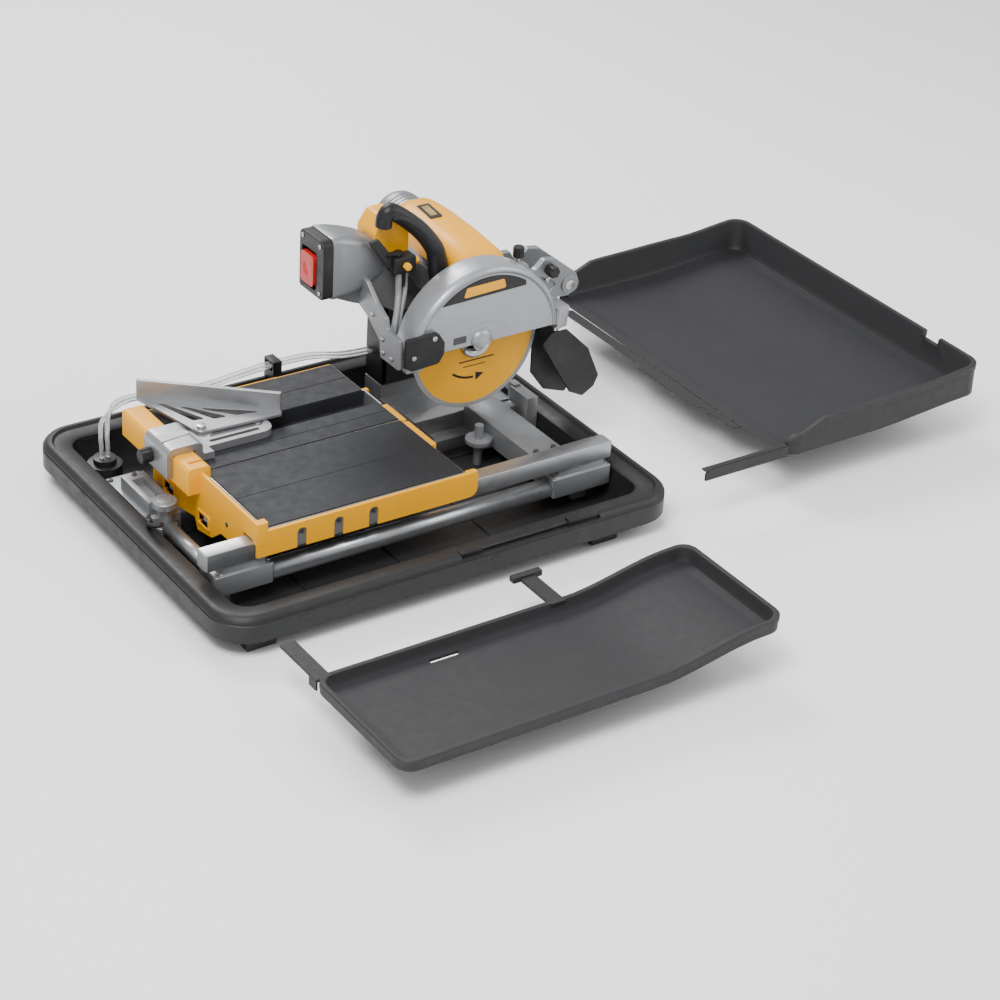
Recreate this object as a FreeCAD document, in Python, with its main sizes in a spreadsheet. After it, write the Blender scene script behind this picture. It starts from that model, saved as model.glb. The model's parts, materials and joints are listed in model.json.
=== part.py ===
import FreeCAD, Part
import math
import os
import re

import Sketcher
from FreeCAD import Placement, Rotation, Vector

# Wet tile saw with a sliding cart, in millimetres.  +X is the way the cart rolls past the
# blade, +Y is across the machine towards its motor, +Z is up.  The origin is the centre of
# the water pan's flat underside.

SIZES = {
    # water pan
    "pan_length": 864, "pan_width": 694, "pan_height": 75, "pan_radius": 60,
    "pan_wall": 4, "rim_band": 8, "rim_drop": 7, "skirt_height": 45, "ledge_width": 42,
    "lip_width": 12, "lip_height": 5, "foot_length": 54, "foot_width": 24, "foot_x": 364,
    "front_foot_x": 302, "foot_inset": 29,
    # front rails and their castings
    "rail_y": -205, "rail_width": 30, "rail_height": 31, "rail_top": 121, "rail_wall": 2.5,
    "rail_left": -403, "rail_right": 385,
    "tube_radius": 17, "tube_y": -203, "tube_z": 52,
    "casting_front": -222, "casting_depth": 57, "casting_top": 76, "casting_bottom": 38,
    "left_casting_start": -388, "left_casting_end": -281,
    "right_casting_start": 266, "right_casting_end": 388,
    "riser_width": 26, "riser_inset": 12, "leg_width": 30,
    # left rear casting and cross tube
    "post_x": -366, "post_y": -6, "post_radius": 14, "post_top": 105, "cross_tube_radius": 13,
    "cross_tube_z": 58, "rear_casting_end": -326, "rear_casting_depth": 156,
    "rear_casting_top": 84, "rear_casting_width": 60,
    # rear rail and base
    "rear_rail_y": 105, "rear_rail_width": 34, "rear_rail_top": 60, "rear_rail_height": 32,
    "rear_rail_end": 385, "hub_start": 205, "arm_start": 285, "arm_width": 65, "arm_top": 72,
    "arm_bottom": 30, "stop_x": 377, "stop_width": 22, "stop_depth": 52, "stop_top": 100,
    "tower_top": 104, "foot_post_x": 256, "foot_post_y": -5, "foot_post_radius": 8,
    "foot_disc_radius": 24, "foot_disc_z": 48, "foot_disc_height": 8,
    # column and its forward arm
    "column_x": 215, "column_width": 85, "column_inset": 103, "column_depth": 58,
    "column_top": 290, "column_wall": 8, "column_base_top": 56, "arm_low": 236, "arm_high": 288,
    "trunnion_y": 55, "trunnion_z": 262, "ear_radius": 26, "ear_thickness": 12,
    "left_ear_x": 300, "right_ear_x": 358, "trunnion_pin_radius": 12, "running_gap": 0.05,
    # cart
    "table_top": 145, "mat_thickness": 2.5, "plate_thickness": 2.5, "cart_left": -317,
    "table_left": -297, "table_right": 82, "cart_front": -228, "table_front": -222,
    "table_back": 215, "skin": 4, "end_plate": 6, "fence_top": 158, "skirt_bottom": 96,
    "skirt_right": 104, "rib_bottom": 124, "rib_width": 20, "kerf_y": -18, "kerf_width": 6,
    "kerf_start": -288, "trough_near": 52, "trough_far": 104, "trough_bottom": 113,
    "trough_wall": 3, "fence_box_left": -340, "fence_box_right": -298,
    "fence_box_near": -40, "fence_box_far": 196, "fence_box_top": 169,
    "fence_box_bottom": 120, "bar_near": -111, "bar_far": 117, "bar_width": 14,
    "bumper_width": 13, "bumper_near": -85, "bumper_far": 104, "ruler_width": 10,
    "roller_radius": 9, "roller_width": 10, "roller_gap": 0.3, "axle_radius": 3,
    "front_roller_a": -234, "front_roller_b": -99, "rear_roller_a": -200,
    "rear_roller_b": -84, "bracket_y": 112,
    # angle guide
    "clamp_near": 12, "clamp_length": 80, "clamp_top": 183, "clamp_wall": 12,
    "clamp_reach": 36, "guide_arm_near": 31, "guide_arm_far": 89, "guide_arm_end": -134,
    "guide_arm_top": 160, "guide_gap": 0.4, "guide_pivot_x": -250, "guide_pivot_y": 82,
    "guide_pin_radius": 5, "guide_web": 5, "guide_plate_height": 38,
    "guide_knob_y": 68, "guide_knob_z": 150, "guide_knob_radius": 13,
    # blade, spindle and drive
    "blade_x": 227, "blade_z": 262, "blade_radius": 127, "blade_thickness": 2.4,
    "arbor_radius": 7.9375, "flange_radius": 30, "flange_thickness": 5,
    "nut_radius": 13, "nut_thickness": 9, "spindle_front": -36, "spindle_back": 56,
    "pulley_y": 30, "pulley_width": 14, "spindle_pulley_radius": 30, "motor_pulley_radius": 11,
    "belt_thickness": 3, "belt_gap": 0.3, "motor_x": 258, "motor_z": 365,
    "motor_radius": 45, "motor_wall": 3, "motor_front": 62, "motor_back": 244,
    "cap_back": 312, "shaft_radius": 6, "armature_radius": 24, "field_inner": 27,
    # guard and head
    "guard_radius": 152, "guard_front": -55, "guard_back": 6, "guard_wall": 4,
    "guard_chord": 275, "head_pivot_x": 440, "head_pivot_z": 310, "head_pin_radius": 9,
    "head_ear_near": 8, "head_ear_thickness": 12, "head_ear_far": 60, "yoke_near": 24,
    "yoke_far": 56, "yoke_bottom": 296, "yoke_top": 330, "cover_wall": 3,
    "cover_front": 20, "cover_back": 243, "cover_half_width": 49, "cover_low": 362,
    "cover_top": 420, "handle_radius": 13, "switch_front": -12, "switch_box_depth": 20,
    "switch_near": 60, "switch_far": 140, "switch_low": 355, "switch_high": 468,
    "paddle_width": 42, "paddle_y": 108, "paddle_stem": 4, "paddle_height": 58, "paddle_thickness": 9, "paddle_top": 432,
    "knob_radius": 10, "flap_thickness": 4,
    # water feed
    "pump_x": -352, "pump_inset": 107, "hose_radius": 4, "lever_x": 110, "lever_y": 53,
    "lever_stem": 3,
    # trays
    "tray_wall": 4, "rear_tray_start": 665, "rear_tray_end": 1118, "rear_tray_half": 360,
    "tray_hook_start": 486, "side_tray_near": -800, "side_tray_far": -540,
    "side_tray_left": -398, "side_tray_right": 306, "side_hook_end": -441,
}

COLUMN_FRONT = "(pan_width / 2 - column_inset)"

doc = FreeCAD.newDocument("tile_saw")
sheet = doc.addObject("Spreadsheet::Sheet", "Sizes")
for row, (alias, number) in enumerate(SIZES.items(), start=1):
    sheet.set(f"A{row}", alias)
    sheet.set(f"B{row}", str(number))
    sheet.setAlias(f"B{row}", alias)
doc.recompute()

NODES = []
WORD = re.compile(r"[a-z][a-z_]*[a-z]")


def bound(text):
    """Put the sheet's name before each alias in an expression."""
    return WORD.sub(lambda word: "Sizes." + word.group() if word.group() in SIZES
                    else word.group(), text)


def worth(size):
    """The number that a size or an expression has now."""
    if isinstance(size, (int, float)):
        return float(size)
    return float(FreeCAD.Units.Quantity(sheet.evalExpression(bound(size))))


def bind(item, prop, size):
    """Bind a property to an expression, or set it when the size is a plain number."""
    if isinstance(size, (int, float)):
        if "." in prop or "[" in prop:
            item.setExpression(prop, repr(float(size)))
        else:
            setattr(item, prop, float(size))
    else:
        item.setExpression(prop, bound(size))


def place(item, x=0, y=0, z=0, turn=None):
    """Put an object at a bound position, turned by an (axis, degrees) pair."""
    if turn:
        item.Placement = Placement(Vector(), Rotation(Vector(*turn[0]), turn[1]))
    for letter, size in zip("xyz", (x, y, z)):
        bind(item, "Placement.Base." + letter, size)
    return item


def box(name, xs, ys, zs):
    """A block between two bound coordinates on each axis."""
    item = doc.addObject("Part::Box", name)
    for prop, (low, high) in zip(("Length", "Width", "Height"), (xs, ys, zs)):
        bind(item, prop, f"({high}) - ({low})")
    return place(item, str(xs[0]), str(ys[0]), str(zs[0]))


TURNS = {"X": ((0, 1, 0), 90), "Y": ((1, 0, 0), -90), "Z": None}


def rod(name, axis, radius, start, length):
    """A cylinder that runs along an axis from its start point."""
    item = doc.addObject("Part::Cylinder", name)
    bind(item, "Radius", radius)
    bind(item, "Height", length)
    return place(item, *start, turn=TURNS[axis])


def cone(name, axis, radius, end_radius, start, length):
    """A tapered cylinder along an axis."""
    item = doc.addObject("Part::Cone", name)
    bind(item, "Radius1", radius)
    bind(item, "Radius2", end_radius)
    bind(item, "Height", length)
    return place(item, *start, turn=TURNS[axis])


def cut(name, base, *tools):
    """The base less its tools."""
    item = doc.addObject("Part::Cut", name)
    item.Base = base
    item.Tool = tools[0] if len(tools) == 1 else fuse(name + "_tools", *tools)
    return item


def fuse(name, *pieces):
    """Several pieces as one solid."""
    item = doc.addObject("Part::MultiFuse", name)
    item.Shapes = list(pieces)
    item.Refine = True
    return item


def group(name, *pieces):
    """Separate solids that share one node."""
    item = doc.addObject("Part::Compound", name)
    item.Links = list(pieces)
    return item


def node(label, item):
    """Name a finished sub-part."""
    item.Label = label
    NODES.append(item)
    return item


def origin_plane(body, role):
    return next(item for item in body.Origin.OriginFeatures if item.Role == role)


def new_sketch(body, plane):
    sketch = body.newObject("Sketcher::SketchObject", body.Name + "_sketch")
    sketch.AttachmentSupport = [(origin_plane(body, plane + "_Plane"), "")]
    sketch.MapMode = "FlatFace"
    return sketch


def pin_down(sketch, kind, geometry, point, size):
    """Bind one coordinate of a sketch point."""
    index = sketch.addConstraint(Sketcher.Constraint(kind, geometry, point, worth(size)))
    if isinstance(size, str):
        sketch.setExpression(f"Constraints[{index}]", bound(size))


def draw_outline(sketch, points):
    """Straight lines from point to point, each corner bound to the sheet."""
    corners = [Vector(worth(x), worth(y), 0) for x, y in points]
    first = sketch.GeometryCount
    count = len(corners)
    for index in range(count):
        line = Part.LineSegment(corners[index], corners[(index + 1) % count])
        sketch.addGeometry(line)
    for index in range(count):
        following = first + (index + 1) % count
        sketch.addConstraint(Sketcher.Constraint("Coincident", first + index, 2, following, 1))
        pin_down(sketch, "DistanceX", first + index, 1, points[index][0])
        pin_down(sketch, "DistanceY", first + index, 1, points[index][1])


def draw_hole(sketch, x, y, radius):
    """A circle whose centre and radius are bound to the sheet."""
    circle = Part.Circle(Vector(worth(x), worth(y), 0), Vector(0, 0, 1), worth(radius))
    index = sketch.addGeometry(circle)
    pin_down(sketch, "DistanceX", index, 3, x)
    pin_down(sketch, "DistanceY", index, 3, y)
    rule = sketch.addConstraint(Sketcher.Constraint("Radius", index, worth(radius)))
    if isinstance(radius, str):
        sketch.setExpression(f"Constraints[{rule}]", bound(radius))


def plate(name, plane, points, start, depth, holes=(), corner=0, windows=()):
    """A flat outline padded along its normal from start by depth, with round holes."""
    body = doc.addObject("PartDesign::Body", name)
    sketch = new_sketch(body, plane)
    draw_outline(sketch, points)
    for window in windows:
        draw_outline(sketch, window)
    for hole in holes:
        draw_hole(sketch, *hole)
    pad = body.newObject("PartDesign::Pad", name + "_pad")
    pad.Profile = sketch
    pad.Reversed = plane == "XZ"
    bind(pad, "Length", depth)
    if corner:
        doc.recompute()
        axis = {"XY": 2, "XZ": 1, "YZ": 0}[plane]
        edges = []
        for index, edge in enumerate(pad.Shape.Edges, start=1):
            run = edge.BoundBox.DiagonalLength
            along = (edge.BoundBox.XLength, edge.BoundBox.YLength, edge.BoundBox.ZLength)[axis]
            if isinstance(edge.Curve, Part.Line) and abs(along - run) < 1e-6:
                edges.append(f"Edge{index}")
        rounding = body.newObject("PartDesign::Fillet", name + "_corners")
        rounding.Base = (pad, edges)
        bind(rounding, "Radius", corner)
    letter = {"XY": "z", "XZ": "y", "YZ": "x"}[plane]
    bind(body, "Placement.Base." + letter, start)
    return body


def rounded(name, length, width, radius, low, high):
    """A block with round vertical corners, centred on the Z axis."""
    half_x, half_y = f"({length}) / 2", f"({width}) / 2"
    points = [(f"-({half_x})", f"-({half_y})"), (half_x, f"-({half_y})"),
              (half_x, half_y), (f"-({half_x})", half_y)]
    return plate(name, "XY", points, low, f"({high}) - ({low})", corner=radius)


def pipe_shape(points, radius):
    """A round tube along straight runs joined by arcs as large as the runs allow."""
    stops = [Vector(*point) for point in points]
    edges = []
    here = stops[0]
    for before, corner, after in zip(stops, stops[1:], stops[2:]):
        back = before - corner
        ahead = after - corner
        turn = math.pi - back.getAngle(ahead)
        reach = 0.45 * min(back.Length, ahead.Length)
        bend = reach / math.tan(turn / 2)
        start = corner + back.normalize() * reach
        end = corner + ahead.normalize() * reach
        to_centre = (start + end) * 0.5 - corner
        depth = bend / math.cos(turn / 2) - bend
        middle = corner + to_centre.normalize() * depth
        edges.append(Part.LineSegment(here, start).toShape())
        edges.append(Part.Arc(start, middle, end).toShape())
        here = end
        print(f"bend radius {bend:.1f}")
    edges.append(Part.LineSegment(here, stops[-1]).toShape())
    path = Part.Wire(edges)
    circle = Part.Circle(stops[0], stops[1] - stops[0], radius)
    tube = path.makePipeShell([Part.Wire(circle.toShape())], True, True)
    print(f"tube volume {tube.Volume:.0f}, section x length "
          f"{math.pi * radius ** 2 * path.Length:.0f}")
    return tube


def feature(name, shape):
    item = doc.addObject("Part::Feature", name)
    item.Shape = shape
    item.Placement = Placement()
    return item


# ---------------------------------------------------------------- water pan

def water_pan():
    length, width = "pan_length", "pan_width"
    skirt_low = "pan_height - skirt_height"
    band = rounded("rim_band_block", f"{length} + 2 * rim_band", f"{width} + 2 * rim_band",
                   "pan_radius + rim_band", skirt_low, "pan_height - rim_drop")
    crest = rounded("rim_crest", length, width, "pan_radius",
                    "pan_height - rim_drop", "pan_height")
    under = rounded("rim_under", f"{length} + 2 * rim_band - 2 * pan_wall",
                    f"{width} + 2 * rim_band - 2 * pan_wall", "pan_radius + rim_band - pan_wall",
                    skirt_low, "pan_height - lip_height - pan_wall")
    recess = rounded("rim_recess", f"{length} - 2 * lip_width", f"{width} - 2 * lip_width",
                     "pan_radius - lip_width", "pan_height - lip_height", "pan_height + 1")
    rim = cut("pan_rim", fuse("pan_rim_block", band, crest), under, recess)
    tub = rounded("tub_block", f"{length} - 2 * ledge_width + 2 * pan_wall",
                  f"{width} - 2 * ledge_width + 2 * pan_wall", "pan_radius - ledge_width + 26",
                  "0", "pan_height - lip_height")
    basin = rounded("basin_space", f"{length} - 2 * ledge_width", f"{width} - 2 * ledge_width",
                    "pan_radius - ledge_width + 22", "pan_wall", "pan_height + 1")
    feet = []
    for side in ("", "-"):
        for name, along in (("left", "-foot_x"), ("right", "front_foot_x")):
            feet.append(box(f"foot_{name}{len(feet)}",
                            (f"{along} - foot_length / 2", f"{along} + foot_length / 2"),
                            (f"{side}(pan_width / 2 - foot_inset) - foot_width / 2",
                             f"{side}(pan_width / 2 - foot_inset) + foot_width / 2"),
                            ("0", "pan_height - lip_height - pan_wall / 2")))
    shell = cut("pan_shell", fuse("pan_block", rim, tub, *feet), basin,
                rod("drain_bore", "Y", 9, ("-foot_x + 70", "-pan_width / 2", 16), 60),
                box("rod_notch", ("-5", "272"), ("-pan_width / 2 - 1", "-pan_width / 2 + lip_width"),
                    ("pan_height - rim_drop", "pan_height + 1")))
    return node("water_pan", shell)


def drain_plug():
    wall_face = "-pan_width / 2 + ledge_width - pan_wall"
    stem = rod("plug_stem", "Y", 8.9, ("-foot_x + 70", wall_face, 16), "pan_wall")
    cap = rod("plug_cap", "Y", 13, ("-foot_x + 70", f"{wall_face} - 8.3", 16), 8)
    grip = box("plug_grip", ("-foot_x + 67", "-foot_x + 73"),
               (f"{wall_face} - 16", f"{wall_face} - 8.2"), ("8", "24"))
    link = rod("plug_neck", "Y", 8.5, ("-foot_x + 70", f"{wall_face} - 1", 16), "pan_wall")
    return node("drain_plug", fuse("drain_plug_body", stem, cap, grip, link))


def tray_catch():
    front = "-pan_width / 2"
    rod_z = "pan_height - rim_drop + 3.6"
    bar = rod("catch_rod", "X", 3.5, (38, f"{front} + 6", rod_z), 172)
    left = box("catch_left", ("-4", "38"), (f"{front} + 0.5", f"{front} + lip_width - 0.5"),
               ("pan_height - rim_drop", "pan_height + 1"))
    right = box("catch_right", ("210", "271"), (f"{front} + 0.5", f"{front} + lip_width - 0.5"),
                ("pan_height - rim_drop", "pan_height + 4"))
    return node("tray_catch", fuse("tray_catch_body", bar, left, right))


# ---------------------------------------------------------------- rail frame

def upper_rail():
    ys = ("rail_y - rail_width / 2", "rail_y + rail_width / 2")
    outer = box("rail_outer", ("rail_left", "rail_right"), ys,
                ("rail_top - rail_height", "rail_top"))
    inner = box("rail_inner", ("rail_left - 1", "rail_right + 1"),
                (f"{ys[0]} + rail_wall", f"{ys[1]} - rail_wall"),
                ("rail_top - rail_height + rail_wall", "rail_top - rail_wall"))
    return node("front_upper_rail", cut("rail_box", outer, inner))


def lower_tube():
    start = ("left_casting_end", "tube_y", "tube_z")
    span = "right_casting_start - left_casting_end"
    outer = rod("tube_outer", "X", "tube_radius", start, span)
    inner = rod("tube_inner", "X", "tube_radius - rail_wall", start, span)
    return node("front_lower_tube", cut("tube_pipe", outer, inner))


def front_casting(side, start, end, leg):
    ys = ("casting_front", "casting_front + casting_depth")
    block = box(f"{side}_block", (start, end), ys, ("casting_bottom", "casting_top"))
    riser_ys = ("rail_y - riser_width / 2", "rail_y + riser_width / 2")
    riser = box(f"{side}_riser", (f"{start} + riser_inset", f"{end} - riser_inset"), riser_ys,
                ("casting_top", "rail_top - rail_height"))
    foot = box(f"{side}_leg", (leg, f"{leg} + leg_width"),
               ("casting_front + casting_depth - leg_width", "casting_front + casting_depth"),
               ("pan_wall", "casting_bottom"))
    return node(f"front_{side}_casting", fuse(f"{side}_casting_body", block, riser, foot))


def cross_tube():
    start = ("post_x", "casting_front + casting_depth", "cross_tube_z")
    span = "post_y - post_radius - casting_front - casting_depth + 1"
    return node("left_cross_tube", cut(
        "cross_tube_pipe", rod("cross_tube_rod", "Y", "cross_tube_radius", start, span),
        rod("post_room", "Z", "post_radius", ("post_x", "post_y", "pan_wall"), "post_top")))


def left_rear_casting():
    near = "post_y + post_radius + 4"
    left = "rear_casting_end - rear_casting_width"
    post = rod("post", "Z", "post_radius", ("post_x", "post_y", "pan_wall"),
               "post_top - pan_wall")
    foot = box("post_foot", ("post_x - 12", "post_x + 12"), ("post_y", f"{near} + 4"),
               ("pan_wall", "30"))
    block = box("rear_block", (left, "rear_casting_end"), (near, f"{near} + rear_casting_depth"),
                ("pan_wall", "rear_casting_top - 24"))
    step = box("rear_step", (f"{left} + 8", "rear_casting_end - 10"),
               (f"{near} + 14", f"{near} + rear_casting_depth - 40"),
               ("rear_casting_top - 24", "rear_casting_top"))
    pocket = box("rear_pocket", (f"{left} + 18", "rear_casting_end - 20"),
                 (f"{near} + 30", f"{near} + rear_casting_depth - 60"),
                 ("rear_casting_top - 12", "rear_casting_top + 1"))
    return node("left_rear_casting",
                cut("rear_casting_body", fuse("rear_casting_block", post, foot, block, step),
                    pocket))


def rear_rail():
    ys = ("rear_rail_y - rear_rail_width / 2", "rear_rail_y + rear_rail_width / 2")
    zs = ("rear_rail_top - rear_rail_height", "rear_rail_top")
    outer = box("rear_rail_outer", ("rear_casting_end", "rear_rail_end"), ys, zs)
    inner = box("rear_rail_inner", ("rear_casting_end - 1", "rear_rail_end + 1"),
                (f"{ys[0]} + rail_wall", f"{ys[1]} - rail_wall"),
                (f"{zs[0]} + rail_wall", f"{zs[1]} - rail_wall"))
    return node("rear_rail", cut("rear_rail_box", outer, inner))


def base_casting():
    rail_front = "rear_rail_y - rear_rail_width / 2"
    rail_low = "rear_rail_top - rear_rail_height"
    hub = box("hub", ("hub_start", "rear_rail_end"), (f"{rail_front} - 30", COLUMN_FRONT),
              ("pan_wall", rail_low))
    arm = box("cross_arm", ("arm_start", "arm_start + arm_width"),
              ("casting_front + casting_depth", rail_front), ("arm_bottom", "arm_top"))
    arm_leg = box("arm_leg", ("arm_start", "arm_start + arm_width"),
                  (f"{rail_front} - 30", rail_front), ("pan_wall", "arm_top"))
    stop = box("end_stop", ("stop_x - stop_width / 2", "stop_x + stop_width / 2"),
               (f"{rail_front} - 30 - stop_depth", f"{rail_front} - 26"), ("pan_wall", "stop_top"))
    tie = box("stop_tie", ("arm_start + arm_width", "stop_x"),
              (f"{rail_front} - 50", f"{rail_front} - 28"), ("pan_wall", "arm_top"))
    tower = box("stop_tower", ("stop_x - 7", "stop_x + 7"),
                (f"{rail_front} - 32", f"{rail_front} - 14"), ("pan_wall", "tower_top"))
    post = rod("foot_post", "Z", "foot_post_radius", ("foot_post_x", "foot_post_y", "pan_wall"),
               "arm_top + 10 - pan_wall")
    disc = rod("foot_disc", "Z", "foot_disc_radius",
               ("foot_post_x", "foot_post_y", "foot_disc_z"), "foot_disc_height")
    web = box("foot_web", ("foot_post_x", "arm_start + 1"), ("foot_post_y - 6", "foot_post_y + 6"),
              ("arm_bottom + 3", "foot_disc_z + 3"))
    return node("base_casting", fuse("base_casting_body", hub, arm, arm_leg, stop, tie, tower,
                                     post, disc, web))


def column():
    back = COLUMN_FRONT + " + column_depth"
    right = "column_x + column_width"
    upright = box("upright", ("column_x", right), (COLUMN_FRONT, back), ("pan_wall", "column_top"))
    foot = box("column_foot", ("column_x - 10", f"{right} + 30"), (COLUMN_FRONT, f"{back} - 4"),
               ("pan_wall", "column_base_top"))
    arm = plate("column_arm", "XY",
                [("column_x", back), (right, back), ("right_ear_x + ear_thickness", 190),
                 ("right_ear_x + ear_thickness", "trunnion_y + ear_radius + 4"),
                 ("left_ear_x", "trunnion_y + ear_radius + 4"), ("column_x", 200)],
                "arm_low", "arm_high - arm_low")
    ears = []
    for side in ("left", "right"):
        start = f"{side}_ear_x"
        round_ear = rod(f"{side}_ear", "X", "ear_radius", (start, "trunnion_y", "trunnion_z"),
                        "ear_thickness")
        strut = box(f"{side}_strut", (start, f"{start} + ear_thickness"),
                    ("trunnion_y", "trunnion_y + ear_radius + 6"),
                    ("trunnion_z - ear_radius", "trunnion_z + ear_radius"))
        ears += [round_ear, strut]
    bore = rod("trunnion_bore", "X", "trunnion_pin_radius + running_gap",
               ("left_ear_x - 1", "trunnion_y", "trunnion_z"), "right_ear_x - left_ear_x + 40")
    room = box("column_room", ("column_x + column_wall", f"{right} - column_wall"),
               (COLUMN_FRONT + " + column_wall", f"{back} - column_wall"), (0, "arm_low - column_wall"))
    return node("column", cut("column_body", fuse("column_block", upright, foot, arm, *ears),
                              bore, room))


def frame_bolts():
    heads = []
    spots = [("left_casting_start + 18", "casting_front + 46"),
             ("left_casting_end - 18", "casting_front + 46"),
             ("right_casting_start + 18", "casting_front + 46"),
             ("right_casting_end - 9", "casting_front + 46")]
    for index, (x, y) in enumerate(spots):
        heads.append(rod(f"bolt_{index}", "Z", 5, (x, y, "casting_top"), 4))
    for index, x in enumerate(("arm_start + 14", "arm_start + arm_width - 14")):
        for step, y in enumerate((-150, -120)):
            heads.append(rod(f"arm_bolt_{index}{step}", "Z", 5, (x, y, "arm_top"), 4))
    return node("frame_bolts", group("frame_bolt_heads", *heads))


# ---------------------------------------------------------------- cart

def cart_frame():
    skin_back = "cart_front + skin"
    plate_low = "table_top - mat_thickness - plate_thickness"
    skirt = box("front_skirt", ("cart_left", "skirt_right"), ("cart_front", skin_back),
                ("skirt_bottom", "table_top - 3"))
    rail_slot_far = "rail_y + rail_width / 2 + 6"
    rear_slot_near = "rear_rail_y - rear_rail_width / 2 - 6"
    rear_slot_far = "rear_rail_y + rear_rail_width / 2 + 6"
    outline = [("cart_front", "skirt_bottom"), (skin_back, "skirt_bottom"),
               (skin_back, "rail_top + 3"), (rail_slot_far, "rail_top + 3"),
               (rail_slot_far, 82), (-109, 80), (-79, 56), (-30, 46), (-20, 66), (43, 54),
               (rear_slot_near, 54), (rear_slot_near, "rear_rail_top + 4"),
               (rear_slot_far, "rear_rail_top + 4"), (rear_slot_far, "fence_box_bottom"),
               ("fence_box_far", "fence_box_bottom"), ("fence_box_far", "fence_top"),
               ("cart_front", "fence_top")]
    windows = [[(-70, 64), (-34, 64), (-34, 88), (-70, 88)], [(48, 64), (80, 64), (80, 88), (48, 88)]]
    end = plate("end_plate", "YZ", outline, "cart_left", "end_plate", windows=windows)
    fence = box("fence_box", ("fence_box_left", "fence_box_right"),
                ("fence_box_near", "fence_box_far"), ("fence_box_bottom", "fence_box_top"))
    corner = box("corner_block", ("cart_left", "table_left"), ("cart_front", "table_front + 8"),
                 ("rail_top + 3", "fence_top"))
    far_skirt = box("far_skirt", ("cart_left + end_plate - 1", "table_right"),
                    ("table_back", "table_back + skin"), ("fence_box_bottom", "table_top - 3"))
    ribs = []
    for name, start in (("left", "table_left + 1"), ("right", "table_right - rib_width - 1")):
        for side, ys in (("near", (f"{skin_back} - 1", "trough_near - trough_wall - 1")),
                         ("far", ("trough_far + trough_wall + 1", "table_back + 1"))):
            ribs.append(box(f"rib_{name}_{side}", (start, f"{start} + rib_width"), ys,
                            ("rib_bottom", plate_low)))
    tie = box("left_tie", ("cart_left", "table_left + 4"), ("cart_front", "table_back + skin"),
              ("rib_bottom", plate_low))
    trough_room = box("trough_room", ("kerf_start - 3", "table_right + bar_width + 9"),
                      ("trough_near - trough_wall - 0.5", "trough_far + trough_wall + 0.5"),
                      ("trough_bottom - 1", "table_top"))
    bar = box("end_bar", ("table_right - 1", "table_right + bar_width"), ("bar_near", "bar_far"),
              ("trough_bottom - 6", plate_low))
    kerf = box("kerf_notch", ("kerf_start", "table_right + bar_width + 1"),
               ("kerf_y - kerf_width / 2", "kerf_y + kerf_width / 2"), (128, "table_top"))
    fence_kerf = box("fence_kerf", ("fence_box_left + 12", "table_left"),
                     ("kerf_y - kerf_width / 2", "kerf_y + kerf_width / 2"),
                     (128, "fence_box_top + 1"))
    return node("cart_frame", cut("cart_frame_body",
                                  fuse("cart_frame_block", skirt, end, fence, corner, far_skirt,
                                       tie, bar, *ribs), kerf, fence_kerf, trough_room))


def table_plate():
    low = "table_top - mat_thickness - plate_thickness"
    sheet_metal = box("table_sheet", ("table_left", "table_right"), ("table_front", "table_back"),
                      (low, "table_top - mat_thickness"))
    kerf = box("sheet_kerf", ("kerf_start", "table_right + 1"),
               ("kerf_y - kerf_width / 2", "kerf_y + kerf_width / 2"), ("rib_bottom", "table_top"))
    gap = box("sheet_gap", ("kerf_start", "table_right + 1"), ("trough_near", "trough_far"),
              ("trough_bottom + trough_wall", "table_top"))
    trough = box("trough", ("kerf_start - 2", "table_right + 4"),
                 ("trough_near - trough_wall", "trough_far + trough_wall"),
                 ("trough_bottom", "table_top - mat_thickness"))
    return node("table_plate", cut("table_plate_body",
                                   fuse("table_plate_block", sheet_metal, trough), kerf, gap))


def table_mats():
    zs = ("table_top - mat_thickness", "table_top")
    strips = (("front", "table_front + 3", "kerf_y - kerf_width / 2"),
              ("middle", "kerf_y + kerf_width / 2", "trough_near"),
              ("rear", "trough_far", "table_back - 3"))
    mats = [box(f"{name}_mat", ("table_left + 2", "table_right - 3"), (near, far), zs)
            for name, near, far in strips]
    return node("table_mats", group("table_mat_strips", *mats))


def fence_ruler():
    low = "table_top - mat_thickness - plate_thickness"
    strip = box("ruler_strip", ("cart_left + end_plate", "cart_left + end_plate + ruler_width"),
                ("table_front + 8.5", "fence_box_near - 0.5"), (low, "table_top + 2"))
    return node("fence_ruler", strip)


def end_bumper():
    start = "table_right + bar_width"
    block = box("bumper_block", (start, f"{start} + bumper_width"), ("bumper_near", "bumper_far"),
                ("trough_bottom - 4", "blade_z - blade_radius - 3"))
    dip = box("bumper_dip", (f"{start} - 1", f"{start} + bumper_width + 1"),
              ("trough_near - 4", "bumper_far + 1"), ("trough_bottom + 3", "table_top"))
    return node("end_bumper", cut("end_bumper_body", block, dip))


ROLLERS = {
    "front_roller_a": ("rail_y", "rail_top"), "front_roller_b": ("rail_y", "rail_top"),
    "rear_roller_a": ("rear_rail_y", "rear_rail_top"),
    "rear_roller_b": ("rear_rail_y", "rear_rail_top"),
}


def rollers():
    for name, (y, top) in ROLLERS.items():
        start = (name, f"{y} - roller_width / 2", f"{top} + roller_gap + roller_radius")
        tyre = rod(name + "_tyre", "Y", "roller_radius", start, "roller_width")
        bore = rod(name + "_bore", "Y", "axle_radius + running_gap", start, "roller_width")
        node(name, cut(name + "_ring", tyre, bore))


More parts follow.
